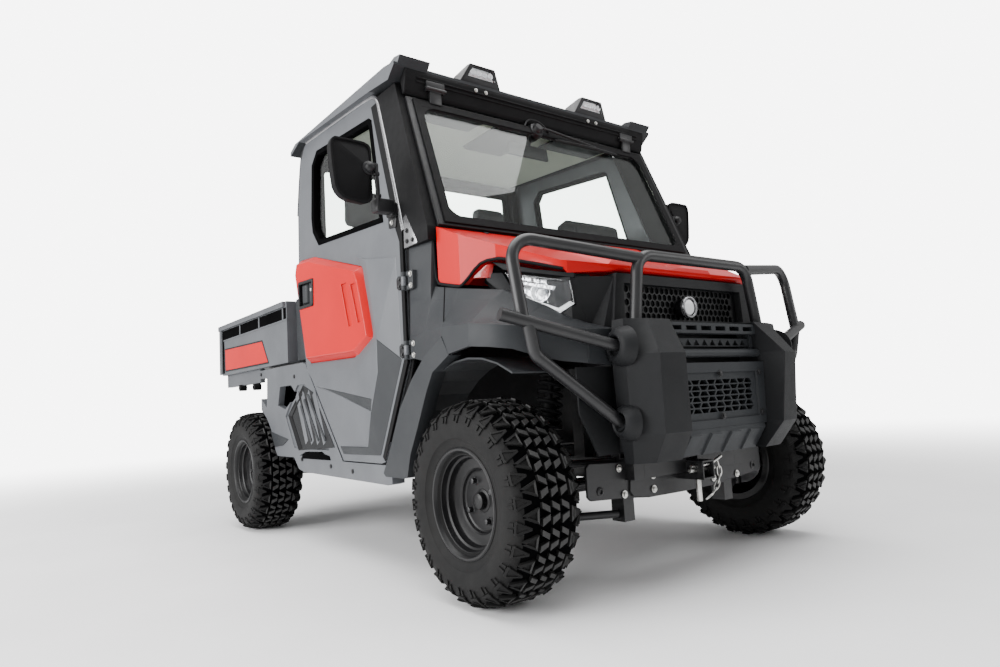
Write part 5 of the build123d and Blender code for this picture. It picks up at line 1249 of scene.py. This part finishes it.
def addPad(name, low, high, bevel, cap, taper=None):
    # block of foam in its cover: rounded, remeshed, blown up as cloth, its swelling held to cap metres
    piece = addBlock(name, low, high, bevel, 4)
    if taper:
        for vertex in piece.data.vertices:
            vertex.co = taper(vertex.co)
    selectOnly(piece)
    remesh = piece.modifiers.new("remesh", "REMESH")
    remesh.mode = "VOXEL"
    remesh.voxel_size = seat["voxel"]
    bpy.ops.object.modifier_apply(modifier="remesh")
    flat = [vertex.co.copy() for vertex in piece.data.vertices]
    cover = piece.modifiers.new("cover", "CLOTH")
    cover.settings.use_pressure = True
    cover.settings.uniform_pressure_force = seat["pressure"]
    cover.settings.effector_weights.gravity = 0
    for step in range(1, seat["frames"] + 1):
        bpy.context.scene.frame_set(step)
    bpy.ops.object.modifier_apply(modifier="cover")
    bpy.context.scene.frame_set(1)
    for vertex, start in zip(piece.data.vertices, flat):
        move = vertex.co - start
        if move.length > cap:
            vertex.co = start + move.normalized() * cap
    smooth = piece.modifiers.new("smooth", "SUBSURF")
    smooth.levels = smooth.render_levels = 1
    bpy.ops.object.modifier_apply(modifier="smooth")
    return piece


half = seat["half"]
cushionSeed = addPad("cushionSeed", at(-1196, -half, 762), at(-912, half, 838), 0.030, 0.014,
    lambda p: Vector((p.x, p.y, p.z + (0.012 if p.x > layout["frontAxleX"] - 1.0 else 0))))
hinge = at(-1268, 0, 760)
leanBack = Matrix.Translation(hinge) @ Matrix.Rotation(radians(-seat["lean"]), 4,
    "Y") @ Matrix.Translation(-hinge)
backSeed = addPad("backSeed", at(-1314, -half, 768), at(-1224, half, 1476), 0.032, 0.014,
    lambda p: leanBack @ Vector((p.x, p.y * (1 - 0.10 * max(p.z - 1.25, 0) / 0.22), p.z)))
headSeed = addPad("headSeed", at(-1422, -104, 1552), at(-1344, 104, 1742), 0.030, 0.010,
    lambda p: Vector((p.x - 0.02 * (p.z - 1.552), p.y * (1 - 0.5 * max(p.z - 1.66, 0)), p.z)))
for place, label in zip(seat["places"], ("left", "middle", "right")):
    shift = Matrix.Translation((0, place / 1000, 0))
    for seed, kind, replaced in ((cushionSeed, "seat_cushion_", ["seat_cushions"]),
            (backSeed, "seat_back_", ["seat_backs"]), (headSeed, "seat_headrest_", [])):
        pad = copyPiece(seed, kind + label, shift)
        settle(pad, "seatVinyl", 60, replaced=replaced)
    seams = [addTube("seam", [leanBack @ at(-1223, place + y, z) for y, z in spots], 0.0022, 2)
        for spots in (((-118, 800), (-118, 1000), (-112, 1250), (-96, 1470)),
        ((118, 800), (118, 1000), (112, 1250), (96, 1470)), ((-118, 1080), (0, 1068), (118, 1080)))]
    posts = [addRod("post", at(-1390, place + y, 1440), at(-1390, place + y, 1570), 0.006, 14)
        for y in (-60, 60)]
    settle(joinPieces(seams, "seat_seams_" + label), "rubberBlack", 50)
    settle(joinPieces(posts, "headrest_posts_" + label), "zincSteel", 50)
for seed in (cushionSeed, backSeed, headSeed):
    bpy.data.objects.remove(seed)
print("seats padded")


# ---------- dashboard and controls ----------
hoodOutline = ((-470, 1300), (-490, 1436), (-556, 1466), (-620, 1446), (-590, 1300))
hood = addLoft("hood", sideLine(228, hoodOutline), sideLine(522, hoodOutline), 0.012, 3)
panel = addPrism("panel", frontLine(-612, ((250, 1320), (250, 1425), (500, 1425), (500, 1320))),
    (-0.006, 0, 0), 0.003, 2)
cowling = addLoft("cowling", frontLine(-620, ((325, 1200), (325, 1300), (435, 1300), (435, 1200))),
    frontLine(-695, ((345, 1190), (345, 1262), (415, 1262), (415, 1190))), 0.010, 3)
settle(joinPieces([hood, cowling], "instrument_hood"), "rubberBlack", 35)
settle(panel, "glossBlack", 35).name = "instrument_panel"
vents = []
for y in (600, 120, -120, -600):
    vents.append(addSpun("vent", [(0.030, 0.0), (0.034, 0.010), (0.041, 0.010), (0.045, 0.004),
        (0.045, -0.004), (0.030, -0.004)], centre=at(-706, y, 1330), axis=(-1, 0, 0), steps=32))
    vents += [addBlock("slat", at(-712, y - 30, 1312 + 12 * n), at(-702, y + 30, 1316 + 12 * n), 0.001)
        for n in range(4)]
settle(joinPieces(vents, "dash_vents"), "rubberBlack", 35)
lever = addTube("lever", [at(-700, 150, 1180), at(-760, 150, 1196), at(-790, 152, 1230)], 0.007)
knob = addSpun("knob", [(0.0, 0.026), (0.012, 0.025), (0.020, 0.018), (0.023, 0.004), (0.019, -0.012),
    (0.010, -0.020), (0.0, -0.020)], centre=at(-792, 152, 1244), axis=(-0.3, 0, 1), steps=24)
pedals = [addPrism("pedal", freeLine((-520 - 8 * n, y, 560), (-520 - 8 * n, y + 74 - 20 * n, 560),
    (-500 - 8 * n, y + 70 - 20 * n, 630), (-500 - 8 * n, y + 4, 630)), (-0.008, 0, 0.002), 0.003, 2)
    for n, y in enumerate((405, 290))]
pedals += [addTube("pedal_arm", sideLine(y, ((-508, 600), (-470, 760), (-440, 900))), 0.008)
    for y in (440, 318)]
settle(joinPieces([lever, knob] + pedals, "controls"), "trimBlack", 40)

# lining of the roof: visors and the console between them
visors = [addLoft("visor", freeLine((-560, y - w, 1856), (-560, y + w, 1856), (-700, y + w, 1862),
    (-700, y - w, 1862)), freeLine((-556, y - w + 8, 1868), (-556, y + w - 8, 1868), (-704, y + w - 8, 1872),
    (-704, y - w + 8, 1872)), 0.004, 2) for y, w in ((380, 170), (-380, 170))]
console = addLoft("console", freeLine((-600, -120, 1846), (-600, 120, 1846), (-860, 100, 1850),
    (-860, -100, 1850)), freeLine((-580, -140, 1870), (-580, 140, 1870), (-890, 120, 1872),
    (-890, -120, 1872)), 0.008, 3)
inner = addLoft("rear_view", frontLine(-520, ((-120, 1720), (120, 1720), (112, 1780), (-112, 1780))),
    frontLine(-538, ((-116, 1722), (116, 1722), (108, 1777), (-108, 1777))), 0.006, 3)
stay = addTube("stay", sideLine(0, ((-520, 1770), (-505, 1810), (-520, 1868))), 0.007)
settle(joinPieces([console, inner, stay], "roof_console"), "trimBlack", 35)
settle(joinPieces(visors, "sun_visors"), "grainedCharcoal", 35)
rearSeal = addRing("rear_seal", frontLine(-1466, ((-600, 1324), (600, 1324), (600, 1868), (-600, 1868))),
    0.022, (0.010, 0, 0), 0.003, rounding=0.04)
settle(rearSeal, "rubberBlack", 35)
print("cab fitted")


# ---------- finishes on the frame's own parts ----------
nodeFinish = {
    "frameBlack": ["chassis_frame", "front_suspension", "rear_axle", "cab_frame", "bull_bar",
        "front_receiver", "lift_barrel", "front_axle"],
    "castGrey": ["engine_block", "knuckle_SIDE"],
    "rubberBlack": ["shock_absorbers"],
    "zincSteel": ["tie_rod_SIDE", "lift_rod"],
    "grainedCharcoal": ["front_fender_SIDE", "corner_guards", "lower_grille", "cab_rear_wall"],
    "satinGrey": ["door_shell_SIDE", "quarter_panel_SIDE", "cargo_bed", "tailgate"],
    "glossRed": ["hood_panel", "door_insert_SIDE"],
    "trimBlack": ["cab_floor", "seat_base", "roof_panel", "windshield_frame", "dashboard", "steering_wheel",
        "front_fascia", "grille", "mirror_SIDE"],
    "headliner": ["headliner"],
    "seatVinyl": ["seat_cushions", "seat_backs"],
    "cabGlass": ["cab_glass", "door_glass_SIDE"],
    "lensGlass": ["headlights", "roof_lamps"],
    "lampRed": ["tail_lamps"],
    "tyreRubber": ["tyre_front_SIDE", "tyre_rear_SIDE"],
    "wheelGloss": ["rim_front_SIDE", "rim_rear_SIDE"],
}
for finishName, patterns in nodeFinish.items():
    for nodeName in [name for pattern in patterns for name in forSides(pattern)]:
        mesh = nodes[nodeName].data
        mesh.materials.clear()
        mesh.materials.append(finishes[finishName])
# no pane throws a shadow
panes = (finishes["cabGlass"], finishes["lensGlass"])
for piece in bpy.context.scene.objects:
    if piece.type == "MESH" and piece.data.materials and piece.data.materials[0] in panes:
        piece.visible_shadow = False

addCamera()
addStudio()
addFloor()
